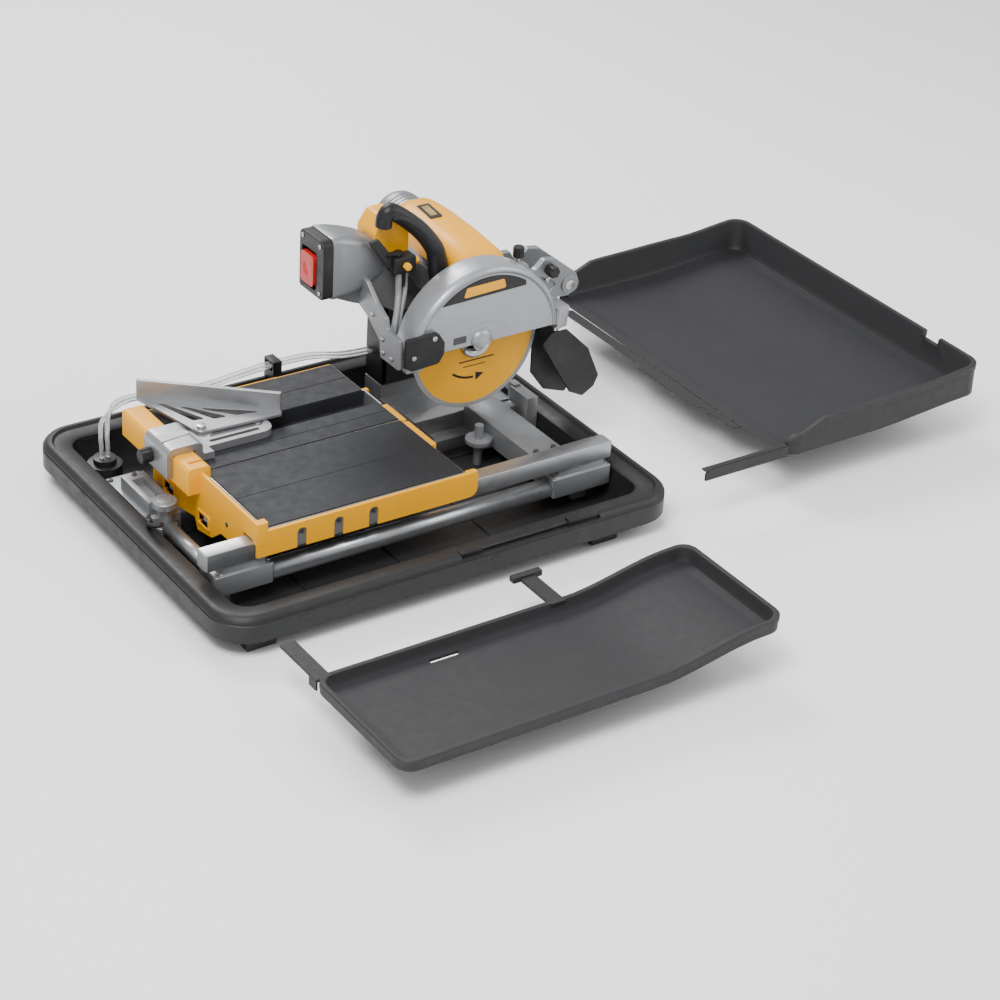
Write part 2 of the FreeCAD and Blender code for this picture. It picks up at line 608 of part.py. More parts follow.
def roller_axles():
    axles = []
    for name in ("front_roller_a", "front_roller_b"):
        height = "rail_top + roller_gap + roller_radius"
        axles.append(rod(name + "_axle", "Y", "axle_radius", (name, "cart_front + skin", height),
                         "rail_y + roller_width / 2 + 3 - cart_front - skin"))
    for name in ("rear_roller_a", "rear_roller_b"):
        height = "rear_rail_top + roller_gap + roller_radius"
        axles.append(rod(name + "_axle", "Y", "axle_radius",
                         (name, "rear_rail_y - roller_width / 2 - 3", height),
                         "bracket_y - rear_rail_y + roller_width / 2 + 3"))
    return node("roller_axles", group("roller_axle_set", *axles))


def roller_bracket():
    hanger = box("hanger", ("rear_roller_a - 20", "rear_roller_b + 10"),
                 ("bracket_y", "bracket_y + skin"),
                 ("rear_rail_top + 3", "table_top - mat_thickness - plate_thickness"))
    foot = box("hanger_flange", ("rear_roller_a - 20", "rear_roller_b + 10"),
               ("bracket_y", "bracket_y + 26"),
               ("table_top - mat_thickness - plate_thickness - 4",
                "table_top - mat_thickness - plate_thickness"))
    return node("rear_roller_bracket", fuse("rear_roller_bracket_body", hanger, foot))


# ---------------------------------------------------------------- angle guide

def guide_clamp():
    far = "clamp_near + clamp_length"
    left = "fence_box_left - clamp_wall"
    right = "fence_box_right + clamp_reach"
    block = box("clamp_block", (left, right), ("clamp_near", far),
                ("fence_box_bottom + 8", "clamp_top"))
    saddle = box("clamp_saddle", ("fence_box_left - guide_gap", "fence_box_right + guide_gap"),
                 ("clamp_near - 1", f"{far} + 1"), ("fence_box_bottom", "fence_box_top + guide_gap"))
    over_table = box("clamp_over_table", ("fence_box_right", f"{right} + 1"),
                     ("clamp_near - 1", f"{far} + 1"), ("fence_box_bottom", "table_top + 1"))
    knob_bore = rod("knob_bore", "X", 4.1, (f"{left} - 1", "guide_knob_y", "guide_knob_z"), 20)
    arm = box("guide_arm", (f"{right} - 4", "guide_arm_end"), ("guide_arm_near", "guide_arm_far"),
              ("table_top + 1", "guide_arm_top"))
    slot = box("guide_slot", (f"{right} + 8", "guide_arm_end - 26"),
               ("guide_arm_near + 10", "guide_arm_near + 18"), ("table_top", "clamp_top"))
    corner = box("clamp_notch", (f"{right} - 22", f"{right} + 1"), ("clamp_near - 1", f"{far} + 1"),
                 ("guide_arm_top", "clamp_top + 1"))
    return node("guide_clamp", fuse("guide_clamp_body",
                                    cut("clamp_saddle_body", block, saddle, over_table,
                                        knob_bore, corner),
                                    cut("guide_arm_body", arm, slot)))


def guide_knob():
    left = "fence_box_left - clamp_wall"
    grip = rod("guide_knob_grip", "X", "guide_knob_radius",
               (f"{left} - 20.3", "guide_knob_y", "guide_knob_z"), 20)
    stem = rod("guide_knob_stem", "X", 4, (f"{left} - 1", "guide_knob_y", "guide_knob_z"),
               "clamp_wall")
    return node("guide_knob", fuse("guide_knob_body", grip, stem))


def guide_plate():
    low = "guide_arm_top + 0.6"
    pivot_x, pivot_y = "guide_pivot_x", "guide_pivot_y"
    web = plate("guide_web", "XY",
                [(-100, 76), (-106, 62), (f"{pivot_x} - 6", f"{pivot_y} - 12"),
                 (f"{pivot_x} - 14", f"{pivot_y} + 4"), (-296, 226), (-288, 232)],
                low, "guide_web", holes=[(pivot_x, pivot_y, "guide_pin_radius + running_gap")],
                windows=[[(-243, 118), (-214, 112), (-258, 172)], [(-200, 100), (-160, 86), (-190, 120)]])
    rise = plate("guide_face", "XY", [(-98, 78), (-103, 72), (-296, 230), (-291, 236)],
                 low, "guide_plate_height")
    return node("guide_plate", fuse("guide_plate_body", web, rise))


def guide_pin():
    spot = ("guide_pivot_x", "guide_pivot_y", "guide_arm_top")
    shank = rod("guide_pin_shank", "Z", "guide_pin_radius", spot, "guide_web + 1")
    head = rod("guide_pin_head", "Z", "guide_pin_radius + 3",
               ("guide_pivot_x", "guide_pivot_y", "guide_arm_top + guide_web + 0.9"), 6)
    return node("guide_pivot_pin", fuse("guide_pin_body", shank, head))


# ---------------------------------------------------------------- head yoke

def head_yoke():
    centre = ("left_ear_x + ear_thickness + 1", "trunnion_y", "trunnion_z")
    span = "right_ear_x - left_ear_x - ear_thickness - 2"
    barrel = rod("yoke_barrel", "X", 22, centre, span)
    neck = box("yoke_neck", ("left_ear_x + 19", "right_ear_x - 7"), ("trunnion_y - 20", "yoke_far"),
               ("trunnion_z", "yoke_top"))
    beam = box("yoke_beam", ("left_ear_x + 19", "head_pivot_x"), ("yoke_near", "yoke_far"),
               ("yoke_bottom", "yoke_top"))
    boss = rod("yoke_boss", "Y", 20, ("head_pivot_x", "yoke_near", "head_pivot_z"),
               "yoke_far - yoke_near")
    trunnion_hole = rod("yoke_trunnion_hole", "X", "trunnion_pin_radius",
                        ("left_ear_x", "trunnion_y", "trunnion_z"), 80)
    pivot_hole = rod("yoke_pivot_hole", "Y", "head_pin_radius",
                     ("head_pivot_x", "yoke_near - 1", "head_pivot_z"), 60)
    return node("head_yoke", cut("head_yoke_body", fuse("yoke_block", barrel, neck, beam, boss),
                                 trunnion_hole, pivot_hole))


def yoke_pins():
    trunnion = rod("trunnion_pin", "X", "trunnion_pin_radius",
                   ("left_ear_x - 6", "trunnion_y", "trunnion_z"),
                   "right_ear_x - left_ear_x + ear_thickness + 16")
    pivot = rod("pivot_pin", "Y", "head_pin_radius",
                ("head_pivot_x", "head_ear_near - 4", "head_pivot_z"),
                "head_ear_far + head_ear_thickness + 8 - head_ear_near")
    return node("yoke_pins", group("yoke_pin_pair", trunnion, pivot))


def bevel_knob():
    start = "right_ear_x + ear_thickness + 10.3"
    hub = rod("bevel_knob_hub", "X", 16, (start, "trunnion_y", "trunnion_z"), 18)
    wings = box("bevel_knob_wings", (f"{start} + 4", f"{start} + 16"),
                ("trunnion_y - 26", "trunnion_y + 26"), ("trunnion_z - 6", "trunnion_z + 6"))
    return node("bevel_lock_knob", fuse("bevel_knob_body", hub, wings))


# ---------------------------------------------------------------- saw head

def gearbox_housing():
    near = "head_ear_near"
    deep = "motor_front - head_ear_near"
    outline = [("blade_x - 42", "blade_z - 12"), ("blade_x - 24", "blade_z - 37"),
               ("blade_x + 24", "blade_z - 37"), ("blade_x + 44", "blade_z - 10"),
               ("motor_x + 45", "motor_z - 30"), ("motor_x + 45", "motor_z + 34"),
               ("motor_x + 30", "motor_z + 50"), ("motor_x - 34", "motor_z + 50"),
               ("motor_x - 45", "motor_z + 34"), ("motor_x - 45", "motor_z - 6")]
    shell = plate("gearbox_shell", "XZ", outline, near, deep, corner=5)
    room = plate("gearbox_room", "XZ",
                 [("blade_x - 37", "blade_z - 6"), ("blade_x - 22", "blade_z - 33.6"),
                  ("blade_x + 22", "blade_z - 33.6"), ("blade_x + 37", "blade_z - 8"),
                  ("motor_x + 37", "motor_z - 28"), ("motor_x + 37", "motor_z + 30"),
                  ("motor_x + 26", "motor_z + 42"), ("motor_x - 28", "motor_z + 42"),
                  ("motor_x - 37", "motor_z + 28")],
                 f"{near} + 6", f"{deep}")
    spindle_hole = rod("spindle_hole", "Y", 15, ("blade_x", f"{near} - 1", "blade_z"), 9)
    boss = rod("spindle_boss", "Y", 20, ("blade_x", f"{near}", "blade_z"), 18)
    boss_hole = rod("boss_hole", "Y", 15, ("blade_x", f"{near} - 1", "blade_z"), 20)
    ears = []
    pivot_x, pivot_z = "head_pivot_x", "head_pivot_z"
    low = [("motor_x + 30", "head_pivot_z - 12"), (pivot_x, f"{pivot_z} - 22"),
           (f"{pivot_x} + 18", f"{pivot_z} - 14"), (f"{pivot_x} + 22", pivot_z),
           (f"{pivot_x} + 14", f"{pivot_z} + 20"), (408, 366), (384, 370), (360, 348),
           (346, 372), (316, 372), ("motor_x + 30", 352)]
    for name, start in (("near", near), ("far", "head_ear_far")):
        ears.append(plate(f"head_ear_{name}", "XZ", low, start, "head_ear_thickness",
                          holes=[(pivot_x, pivot_z, "head_pin_radius + running_gap")]))
    casing = cut("gearbox_casing", shell, room, spindle_hole)
    open_room = cut("gearbox_ears", fuse("ear_pair", *ears),
                    box("ear_trim", ("motor_x", "motor_x + 37"), ("0", "100"), ("200", "400")),
                    rod("ear_motor_room", "Y", "motor_radius + 0.5",
                        ("motor_x", "motor_front", "motor_z"), 60))
    body = fuse("gearbox_block", casing, open_room, cut("spindle_seat", boss, boss_hole))
    return node("gearbox_housing", body)


def spindle_bearing():
    start = ("blade_x", "head_ear_near + 2", "blade_z")
    ring = rod("bearing_ring", "Y", 15, start, 12)
    bore = rod("bearing_bore", "Y", "arbor_radius + running_gap", start, 12)
    return node("spindle_bearing", cut("spindle_bearing_body", ring, bore))


def spindle():
    shaft = rod("spindle_shaft", "Y", "arbor_radius", ("blade_x", "spindle_front", "blade_z"),
                "spindle_back - spindle_front")
    pulley = rod("spindle_pulley", "Y", "spindle_pulley_radius",
                 ("blade_x", "pulley_y", "blade_z"), "pulley_width")
    return node("spindle", fuse("spindle_body", shaft, pulley))


def blade():
    disc = rod("blade_disc", "Y", "blade_radius",
               ("blade_x", "kerf_y - blade_thickness / 2", "blade_z"), "blade_thickness")
    bore = rod("blade_bore", "Y", "arbor_radius",
               ("blade_x", "kerf_y - blade_thickness", "blade_z"), "2 * blade_thickness")
    return node("blade", cut("blade_body", disc, bore))


def blade_clamp():
    def ring(name, start, radius, thickness):
        disc = rod(name, "Y", radius, ("blade_x", start, "blade_z"), thickness)
        hole = rod(name + "_hole", "Y", "arbor_radius", ("blade_x", start, "blade_z"), thickness)
        return cut(name + "_ring", disc, hole)

    outer_face = "kerf_y - blade_thickness / 2 - flange_thickness"
    outer = ring("outer_flange", outer_face, "flange_radius", "flange_thickness")
    inner = ring("inner_flange", "kerf_y + blade_thickness / 2", "flange_radius",
                 "flange_thickness")
    nut = doc.addObject("Part::Prism", "arbor_nut")
    nut.Polygon = 6
    bind(nut, "Circumradius", "nut_radius")
    bind(nut, "Height", "nut_thickness")
    place(nut, "blade_x", f"{outer_face} - nut_thickness", "blade_z", turn=TURNS["Y"])
    hole = rod("nut_hole", "Y", "arbor_radius",
               ("blade_x", f"{outer_face} - nut_thickness", "blade_z"), "nut_thickness")
    return node("blade_clamp", group("blade_clamp_set", outer, inner,
                                     cut("arbor_nut_ring", nut, hole)))


def motor_housing():
    start = ("motor_x", "motor_front", "motor_z")
    length = "motor_back - motor_front"
    tube = rod("motor_tube", "Y", "motor_radius", start, length)
    bore = rod("motor_bore", "Y", "motor_radius - motor_wall",
               ("motor_x", "motor_front + 6", "motor_z"), length)
    shaft_hole = rod("motor_shaft_hole", "Y", "shaft_radius + running_gap", start, 8)
    return node("motor_housing", cut("motor_housing_body", tube, bore, shaft_hole))


def motor_end_cap():
    start = ("motor_x", "motor_back", "motor_z")
    barrel = rod("cap_barrel", "Y", "motor_radius + 3", start, 44)
    dome = cone("cap_dome", "Y", "motor_radius + 3", "motor_radius - 12",
                ("motor_x", "motor_back + 44", "motor_z"), "cap_back - motor_back - 44")
    room = rod("cap_room", "Y", "motor_radius - motor_wall", start, 40)
    seat = rod("cap_shaft_seat", "Y", "shaft_radius + running_gap", start, 56)
    return node("motor_end_cap", cut("motor_end_cap_body", fuse("cap_block", barrel, dome),
                                     room, seat))


def motor_parts():
    shaft = rod("motor_shaft", "Y", "shaft_radius", ("motor_x", "pulley_y - 2", "motor_z"),
                "motor_back + 50 - pulley_y + 2")
    core = rod("armature_core", "Y", "armature_radius", ("motor_x", 120, "motor_z"), 78)
    brush_ring = rod("commutator", "Y", "armature_radius - 10", ("motor_x", 210, "motor_z"), 24)
    fan = rod("fan_disc", "Y", "motor_radius - 8", ("motor_x", 80, "motor_z"), 14)
    pulley = rod("motor_pulley_disc", "Y", "motor_pulley_radius",
                 ("motor_x", "pulley_y", "motor_z"), "pulley_width")
    node("armature", fuse("armature_body", shaft, core, brush_ring, fan, pulley))
    field = rod("field_ring", "Y", "motor_radius - motor_wall", ("motor_x", 124, "motor_z"), 70)
    room = rod("field_room", "Y", "field_inner", ("motor_x", 124, "motor_z"), 70)
    node("field_coil", cut("field_coil_body", field, room))


def belt_face(grow):
    """The belt's outline round both pulleys, grown by a distance."""
    big = Vector(worth("blade_x"), worth("pulley_y"), worth("blade_z"))
    small = Vector(worth("motor_x"), worth("pulley_y"), worth("motor_z"))
    big_radius = worth("spindle_pulley_radius + belt_gap") + grow
    small_radius = worth("motor_pulley_radius + belt_gap") + grow
    line = small - big
    lean = math.acos((big_radius - small_radius) / line.Length)
    axis = Vector(0, 1, 0)

    def spot(centre, radius, degrees):
        return centre + Rotation(axis, degrees).multVec(Vector(line).normalize()) * radius

    side = math.degrees(lean)
    left_big, right_big = spot(big, big_radius, side), spot(big, big_radius, -side)
    left_small, right_small = spot(small, small_radius, side), spot(small, small_radius, -side)
    edges = [Part.LineSegment(left_big, left_small).toShape(),
             Part.Arc(left_small, spot(small, small_radius, 0), right_small).toShape(),
             Part.LineSegment(right_small, right_big).toShape(),
             Part.Arc(right_big, spot(big, big_radius, 180), left_big).toShape()]
    return Part.Face(Part.Wire(edges))


def drive_belt():
    width = Vector(0, worth("pulley_width"), 0)
    loop = belt_face(worth("belt_thickness")).extrude(width).cut(belt_face(0).extrude(width))
    return node("drive_belt", feature("drive_belt_loop", loop))


def motor_cover():
    def shell(name, wall, start, length):
        half = f"(cover_half_width - {wall})"
        points = [(f"motor_x - {half}", f"cover_low - {wall}"),
                  (f"motor_x - {half}", f"cover_top - {wall} - 14"),
                  (f"motor_x - {half} + 14", f"cover_top - {wall}"),
                  (f"motor_x + {half} - 14", f"cover_top - {wall}"),
                  (f"motor_x + {half}", f"cover_top - {wall} - 14"),
                  (f"motor_x + {half}", f"cover_low - {wall}")]
        return plate(name, "XZ", points, start, length)

    outer = shell("cover_outer", "0", "cover_front", "cover_back - cover_front")
    inner = shell("cover_inner", "cover_wall", "cover_front - 1", "cover_back - cover_front + 2")
    ear_room = box("cover_ear_room", ("motor_x + 30", "motor_x + 60"), ("0", "74"), ("340", "374"))
    return node("motor_cover", cut("motor_cover_body", outer, inner, ear_room))


def switch_housing():
    box_part = box("switch_shell", ("switch_front", "72"), ("switch_near", "switch_far"),
                   ("switch_low", "switch_high"))
    limb = plate("head_limb", "XZ",
                 [("switch_front + 6", "switch_low"), (40, 334), (120, 312), (204, 294),
                  ("column_x + 80", 294), ("column_x + 80", 312), (204, 318), (204, 400),
                  (72, 400)], 76, 160)
    motor_room = rod("limb_motor_room", "Y", "motor_radius + 4", ("motor_x", 0, "motor_z"), 400)
    box_room = box("switch_room", ("switch_front - 1", "72 - cover_wall"),
                   ("switch_near + cover_wall", "switch_far - cover_wall"),
                   ("switch_low + cover_wall", "switch_high - cover_wall"))
    limb_room = plate("limb_room", "XZ",
                      [(0, "switch_low + cover_wall"), (42, 340), (121, 318), (200, 302),
                       (200, 396), (60, 396)], 80, 152)
    return node("switch_housing", cut("switch_housing_body",
                                      fuse("switch_housing_block", box_part, limb), motor_room,
                                      fuse("switch_rooms", box_room, limb_room)))


def front_cover():
    points = [(78, 400.2), (78, 452), (96, 478), (128, 478), (146, 452), (146, 400.2)]
    return node("front_cover", plate("front_cover_body", "XZ", points, 78, 58))


def handle():
    points = [(84, 62, 474), (84, 60, 516), (146, 54, 462), (184, 46, 416), (186, 42, 368),
              (206, 44, 340)]
    return node("handle", cut("handle_body",
                              feature("handle_bar", pipe_shape(points, worth("handle_radius"))),
                              cut("handle_end_room",
                                  box("handle_end_block", ("150", "240"), ("8", "75"),
                                      ("300", "372")),
                                  box("handle_end_keep", ("100", "199"), ("0", "80"),
                                      ("290", "380"))),
                              box("handle_front_room", ("70", "150"), ("78", "100"),
                                  ("400", "478.4"))))


def switch_box():
    depth = "switch_box_depth"
    plate_box = box("switch_box_block", (f"switch_front - {depth}", "switch_front"),
                    ("switch_near", "switch_far"), ("switch_low + 4", "switch_high - 2"))
    pocket = box("paddle_pocket", (f"switch_front - {depth} - 1", "switch_front - 6"),
                 ("switch_far - 12 - paddle_width", "switch_far - 10"),
                 ("paddle_top - paddle_height - 4", "paddle_top + 5"))
    bore = rod("paddle_bore", "X", "paddle_stem + running_gap",
               (f"switch_front - {depth}", "paddle_y", "paddle_top - paddle_height / 2"), depth)
    return node("switch_box", cut("switch_box_body", plate_box, pocket, bore))


def switch_paddle():
    front = "switch_front - switch_box_depth - 4"
    paddle = box("paddle_block", (front, f"{front} + paddle_thickness"),
                 ("switch_far - 11 - paddle_width", "switch_far - 11"),
                 ("paddle_top - paddle_height", "paddle_top"))
    stem = rod("paddle_post", "X", "paddle_stem",
               (f"{front} + 1", "paddle_y", "paddle_top - paddle_height / 2"),
               "switch_box_depth - 1.2")
    return node("switch_paddle", fuse("switch_paddle_body", paddle, stem))


def blade_guard():
    start = ("blade_x", "guard_front", "blade_z")
    outer = rod("guard_outer", "Y", "guard_radius", start, "guard_back - guard_front")
    room = rod("guard_room", "Y", "guard_radius - guard_wall",
               ("blade_x", "guard_front + guard_wall", "blade_z"),
               "guard_back - guard_front - 2 * guard_wall")
    below = box("guard_below", ("0", "400"), ("guard_front - 20", "guard_back + 20"),
                ("50", "guard_chord"))
    hole = rod("guard_hole", "Y", 24, ("blade_x", "guard_back - guard_wall - 1", "blade_z"), 20)
    bulge = rod("arbor_bulge", "Y", 20, ("blade_x - 6", "guard_front - 8", "blade_z + 18"), 9)
    bulge_room = rod("arbor_room", "Y", 16, ("blade_x - 6", "guard_front - 4", "blade_z + 18"), 9)
    guard = fuse("guard_block", cut("guard_disc", outer, room), bulge)
    return node("blade_guard", cut("blade_guard_body", guard, below, hole, bulge_room))


def nozzle_block():
    front = "guard_front - 8"
    face = box("nozzle_face", ("58", "136"), (front, "guard_front - 0.3"),
               ("guard_chord - 16", "322"))
    body = box("nozzle_body", ("58", "blade_x - blade_radius - 4"), (front, "guard_back + 18"),
               ("guard_chord - 20", "guard_chord - 0.5"))
    return node("nozzle_block", fuse("nozzle_block_body", face, body))


def splash_flaps():
    front = plate("front_flap", "XZ", [(352, 246), (400, 256), (424, 206), (478, 160),
                                        (480, 134), (440, 120), (402, 122)],
                  "guard_front + 8", "flap_thickness")
    rear = plate("rear_flap", "XZ", [(352, 246), (400, 256), (420, 206), (452, 140),
                                      (436, 104), (356, 150)],
                 "guard_back - 14", "flap_thickness")
    bridge = box("flap_bridge", ("360", "396"), ("guard_front + 8", "guard_back - 10"),
                 ("246", "253"))
    return node("splash_flaps", fuse("splash_flap_body", front, rear, bridge))


def flap_bracket():
    leg = plate("flap_leg", "XZ", [(350, "guard_chord - 0.5"), (352, 254), (400, 262),
                                    (404, 300), (378, 300), (372, "guard_chord - 0.5")],
                "guard_front + 8", "guard_back - guard_front - 20")
    return node("flap_bracket", cut("flap_bracket_body", leg,
                                    rod("flap_guard_room", "Y", "guard_radius + 0.3",
                                        ("blade_x", "guard_front", "blade_z"), 80)))


def water_valve():
    valve = box("valve_block", ("96", "139"), ("40", "66"), ("388", "418"))
    seat = rod("lever_seat", "Z", "lever_stem + running_gap", ("lever_x", "lever_y", 406), 14)
    feed = feature("feed_tube", pipe_shape([(110, 50, 388), (110, 48, 350), (84, 16, 316),
                                            (82, 14, 275)], worth("hose_radius")))
    back = feature("feed_tube_rear", pipe_shape([(126, 56, 388), (126, 54, 350), (96, 24, 314),
                                                 (90, 20, 275)], 3.0))
    link = box("valve_link", ("138", "209"), ("60.5", "70"), ("392", "402"))
    node("water_valve", fuse("water_valve_body", cut("valve_cock", valve, seat), feed, back, link))
    stem = rod("lever_pin", "Z", "lever_stem", ("lever_x", "lever_y", 407), 14)
    hub = rod("lever_hub", "Z", 7, ("lever_x", "lever_y", 418.3), 8)
    arm = box("lever_arm", ("lever_x - 24", "lever_x"), ("lever_y - 4", "lever_y + 4"),
              ("420", "426"))
    return node("valve_lever", fuse("valve_lever_body", stem, hub, arm))


def head_knobs():
    depth_grip = rod("depth_grip", "Z", "knob_radius", (331, "head_ear_near + 6", 384), 20)
    depth_stem = rod("depth_stem", "Z", 4, (331, "head_ear_near + 6", 372.3), 13)
    node("depth_knob", fuse("depth_knob_body", depth_grip, depth_stem))
    lock = rod("lock_grip", "Y", "knob_radius + 1", (394, "head_ear_near - 20.3", 350), 20)
    node("plunge_lock_knob", lock)


# ---------------------------------------------------------------- water feed

def water_feed():
    motor = rod("pump_body", "Z", 30, ("pump_x", "pan_width / 2 - pump_inset", "pan_wall"), 44)
    inlet = rod("pump_inlet", "Z", 20, ("pump_x", "pan_width / 2 - pump_inset", "pan_wall + 44"), 10)
    node("water_pump", fuse("water_pump_body", motor, inlet))
    radius = worth("hose_radius")
    lines = []
    for index, shift in enumerate((-6, 6)):
        points = [(-352 + shift, 240, 58), (-352 + shift, 240, 98),
                  (-330 + shift, 276, 120 + shift), (-276, 312 + shift, 116),
                  (-190, 329 + shift, 98), (-110, 330 + shift, 93), (-40, 330 + shift, 99),
                  (29, 329 + shift, 104), (100, 318 + shift, 108), (152, 290 + shift, 111),
                  (214.6, 284 + shift, 110)]
        lines.append(feature(f"hose_{index}", pipe_shape(points, radius)))
    node("pump_hoses", group("pump_hose_pair", *lines))
    back = "pan_width / 2 - 1"
    block = box("clip_block", ("20", "38"), (f"{back} - 34", back), ("pan_height", "115"))
    gap = box("clip_gap", ("19", "39"), (f"{back} - 30", f"{back} - 4"), ("96", "111"))
    base = box("clip_base", ("20", "38"), (f"{back} - 36", back),
               ("pan_height - lip_height", "pan_height + 2"))
    recess = box("clip_recess", ("0", "60"), ("pan_width / 2 - lip_width", "400"),
                 ("0", "pan_height"))
    node("hose_clip", cut("hose_clip_body", fuse("clip_solid", block, base), gap, recess))


# ---------------------------------------------------------------- trays

def rear_tray():
    inner, outer = "rear_tray_start", "rear_tray_end"
    wall = "tray_wall"
    half = "rear_tray_half"
    side = [(inner, 76), (f"{inner} + 195", 76), (outer, 92), (outer, 158), (f"{inner} + 300", 146),
            (f"{inner} + 92", 142), (f"{inner} + 28", 120), (inner, 104)]
    block = plate("rear_tray_block", "XZ", side, f"-{half}", f"2 * {half}")
    room = plate("rear_tray_room", "XZ",
                 [(f"{inner} - 1", 80), (f"{inner} + 195", 80), (f"{outer} - {wall}", 96),
                  (f"{outer} - {wall}", 170), (f"{inner} - 1", 170)],
                 f"-{half} + {wall}", f"2 * ({half} - {wall})")
    hook = box("rear_tray_hook", ("tray_hook_start", f"{inner} + 2"),
               (f"-{half}", f"-{half} + {wall}"), ("84", "104"))
    lip = box("rear_tray_lip", (f"{inner} - 26", f"{inner} + 2"),
              (f"-{half} + 130", f"{half} - 60"), ("77", "80"))
    return node("rear_tray", fuse("rear_tray_body", cut("rear_tray_shell", block, room), hook, lip))


def side_tray():
    near, far = "side_tray_near", "side_tray_far"
    left, right = "side_tray_left", "side_tray_right"
    wall = "tray_wall"
    side = [(left, 58), (60, 58), (266, 86), (right, 88), (right, 117), (266, 114), (60, 84),
            (left, 82)]
    block = plate("side_tray_block", "XZ", side, near, f"{far} - ({near})")
    inside = [(f"{left} + {wall}", 62), (60, 62), (266, 90), (f"{right} - {wall}", 92),
              (f"{right} - {wall}", 130), (f"{left} + {wall}", 130)]
    room = plate("side_tray_room", "XZ", inside, f"{near} + {wall}",
                 f"{far} - ({near}) - 2 * {wall}")
    slot = box("side_tray_drain", ("-205", "-152"), (f"{far} - 32", f"{far} - 24"), ("50", "90"))
    left_hook = box("left_hook", (left, f"{left} + 28"), (f"{far} - 1", "side_hook_end"),
                    ("77", "82"))
    right_hook = box("right_hook", ("32", "60"), (f"{far} - 1", "side_hook_end - 12"),
                     ("77", "84"))
    tub = cut("side_tray_shell", block, room, slot)
    return node("side_tray", fuse("side_tray_body", tub, left_hook, right_hook))


water_pan()
drain_plug()
tray_catch()
upper_rail()
lower_tube()
front_casting("left", "left_casting_start", "left_casting_end", "left_casting_start + 12")
front_casting("right", "right_casting_start", "right_casting_end", "right_casting_end - 60")
cross_tube()
left_rear_casting()
rear_rail()
base_casting()
column()
frame_bolts()
cart_frame()
table_plate()
table_mats()
fence_ruler()
end_bumper()
rollers()
roller_axles()
roller_bracket()
guide_clamp()
guide_knob()
guide_plate()
guide_pin()
head_yoke()
yoke_pins()
bevel_knob()
gearbox_housing()
spindle_bearing()
spindle()
blade()
blade_clamp()
motor_housing()
motor_end_cap()
motor_parts()
drive_belt()
motor_cover()
switch_housing()
front_cover()
handle()
switch_box()
switch_paddle()
blade_guard()
nozzle_block()
splash_flaps()
flap_bracket()
water_valve()
head_knobs()
water_feed()
rear_tray()
side_tray()

doc.recompute()
for item in doc.Objects:
    if "Invalid" in item.State or "Error" in item.State:
        raise RuntimeError(f"{item.Name} failed: {item.State}")
os.makedirs("parts", exist_ok=True)
for item in NODES:
    if item.Shape.isNull() or not item.Shape.isValid() or not item.Shape.Solids:
        raise RuntimeError(f"{item.Label} has no valid solid")
for item in NODES:
    item.Shape.exportStep(f"parts/{item.Label}.step")
    print(f"{item.Label}: {len(item.Shape.Solids)} solid(s), {item.Shape.Volume / 1000:.1f} cm3")
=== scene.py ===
import json
import math

import bmesh
import bpy
from mathutils import Matrix, Vector


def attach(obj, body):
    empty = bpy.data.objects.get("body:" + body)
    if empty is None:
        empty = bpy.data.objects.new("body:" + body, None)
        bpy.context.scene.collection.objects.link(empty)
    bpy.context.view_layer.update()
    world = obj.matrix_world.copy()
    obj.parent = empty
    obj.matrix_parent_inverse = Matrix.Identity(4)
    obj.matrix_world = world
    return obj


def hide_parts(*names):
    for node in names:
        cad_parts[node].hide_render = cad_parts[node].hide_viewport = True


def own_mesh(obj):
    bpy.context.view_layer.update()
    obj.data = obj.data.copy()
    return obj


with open("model.json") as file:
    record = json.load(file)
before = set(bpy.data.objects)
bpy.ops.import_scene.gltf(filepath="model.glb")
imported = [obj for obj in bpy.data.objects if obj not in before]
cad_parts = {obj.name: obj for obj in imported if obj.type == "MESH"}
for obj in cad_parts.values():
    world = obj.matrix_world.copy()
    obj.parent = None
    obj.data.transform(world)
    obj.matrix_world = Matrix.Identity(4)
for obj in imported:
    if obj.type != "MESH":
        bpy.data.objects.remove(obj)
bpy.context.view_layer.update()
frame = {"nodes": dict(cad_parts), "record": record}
MM = 0.001
NODES = frame["nodes"]


# ---------------------------------------------------------------- materials

TONE_EDGES = (0.35, 0.65)
DUST_COLOUR = (0.42, 0.41, 0.39, 1)
GRAIN_DEPTH = 0.0004


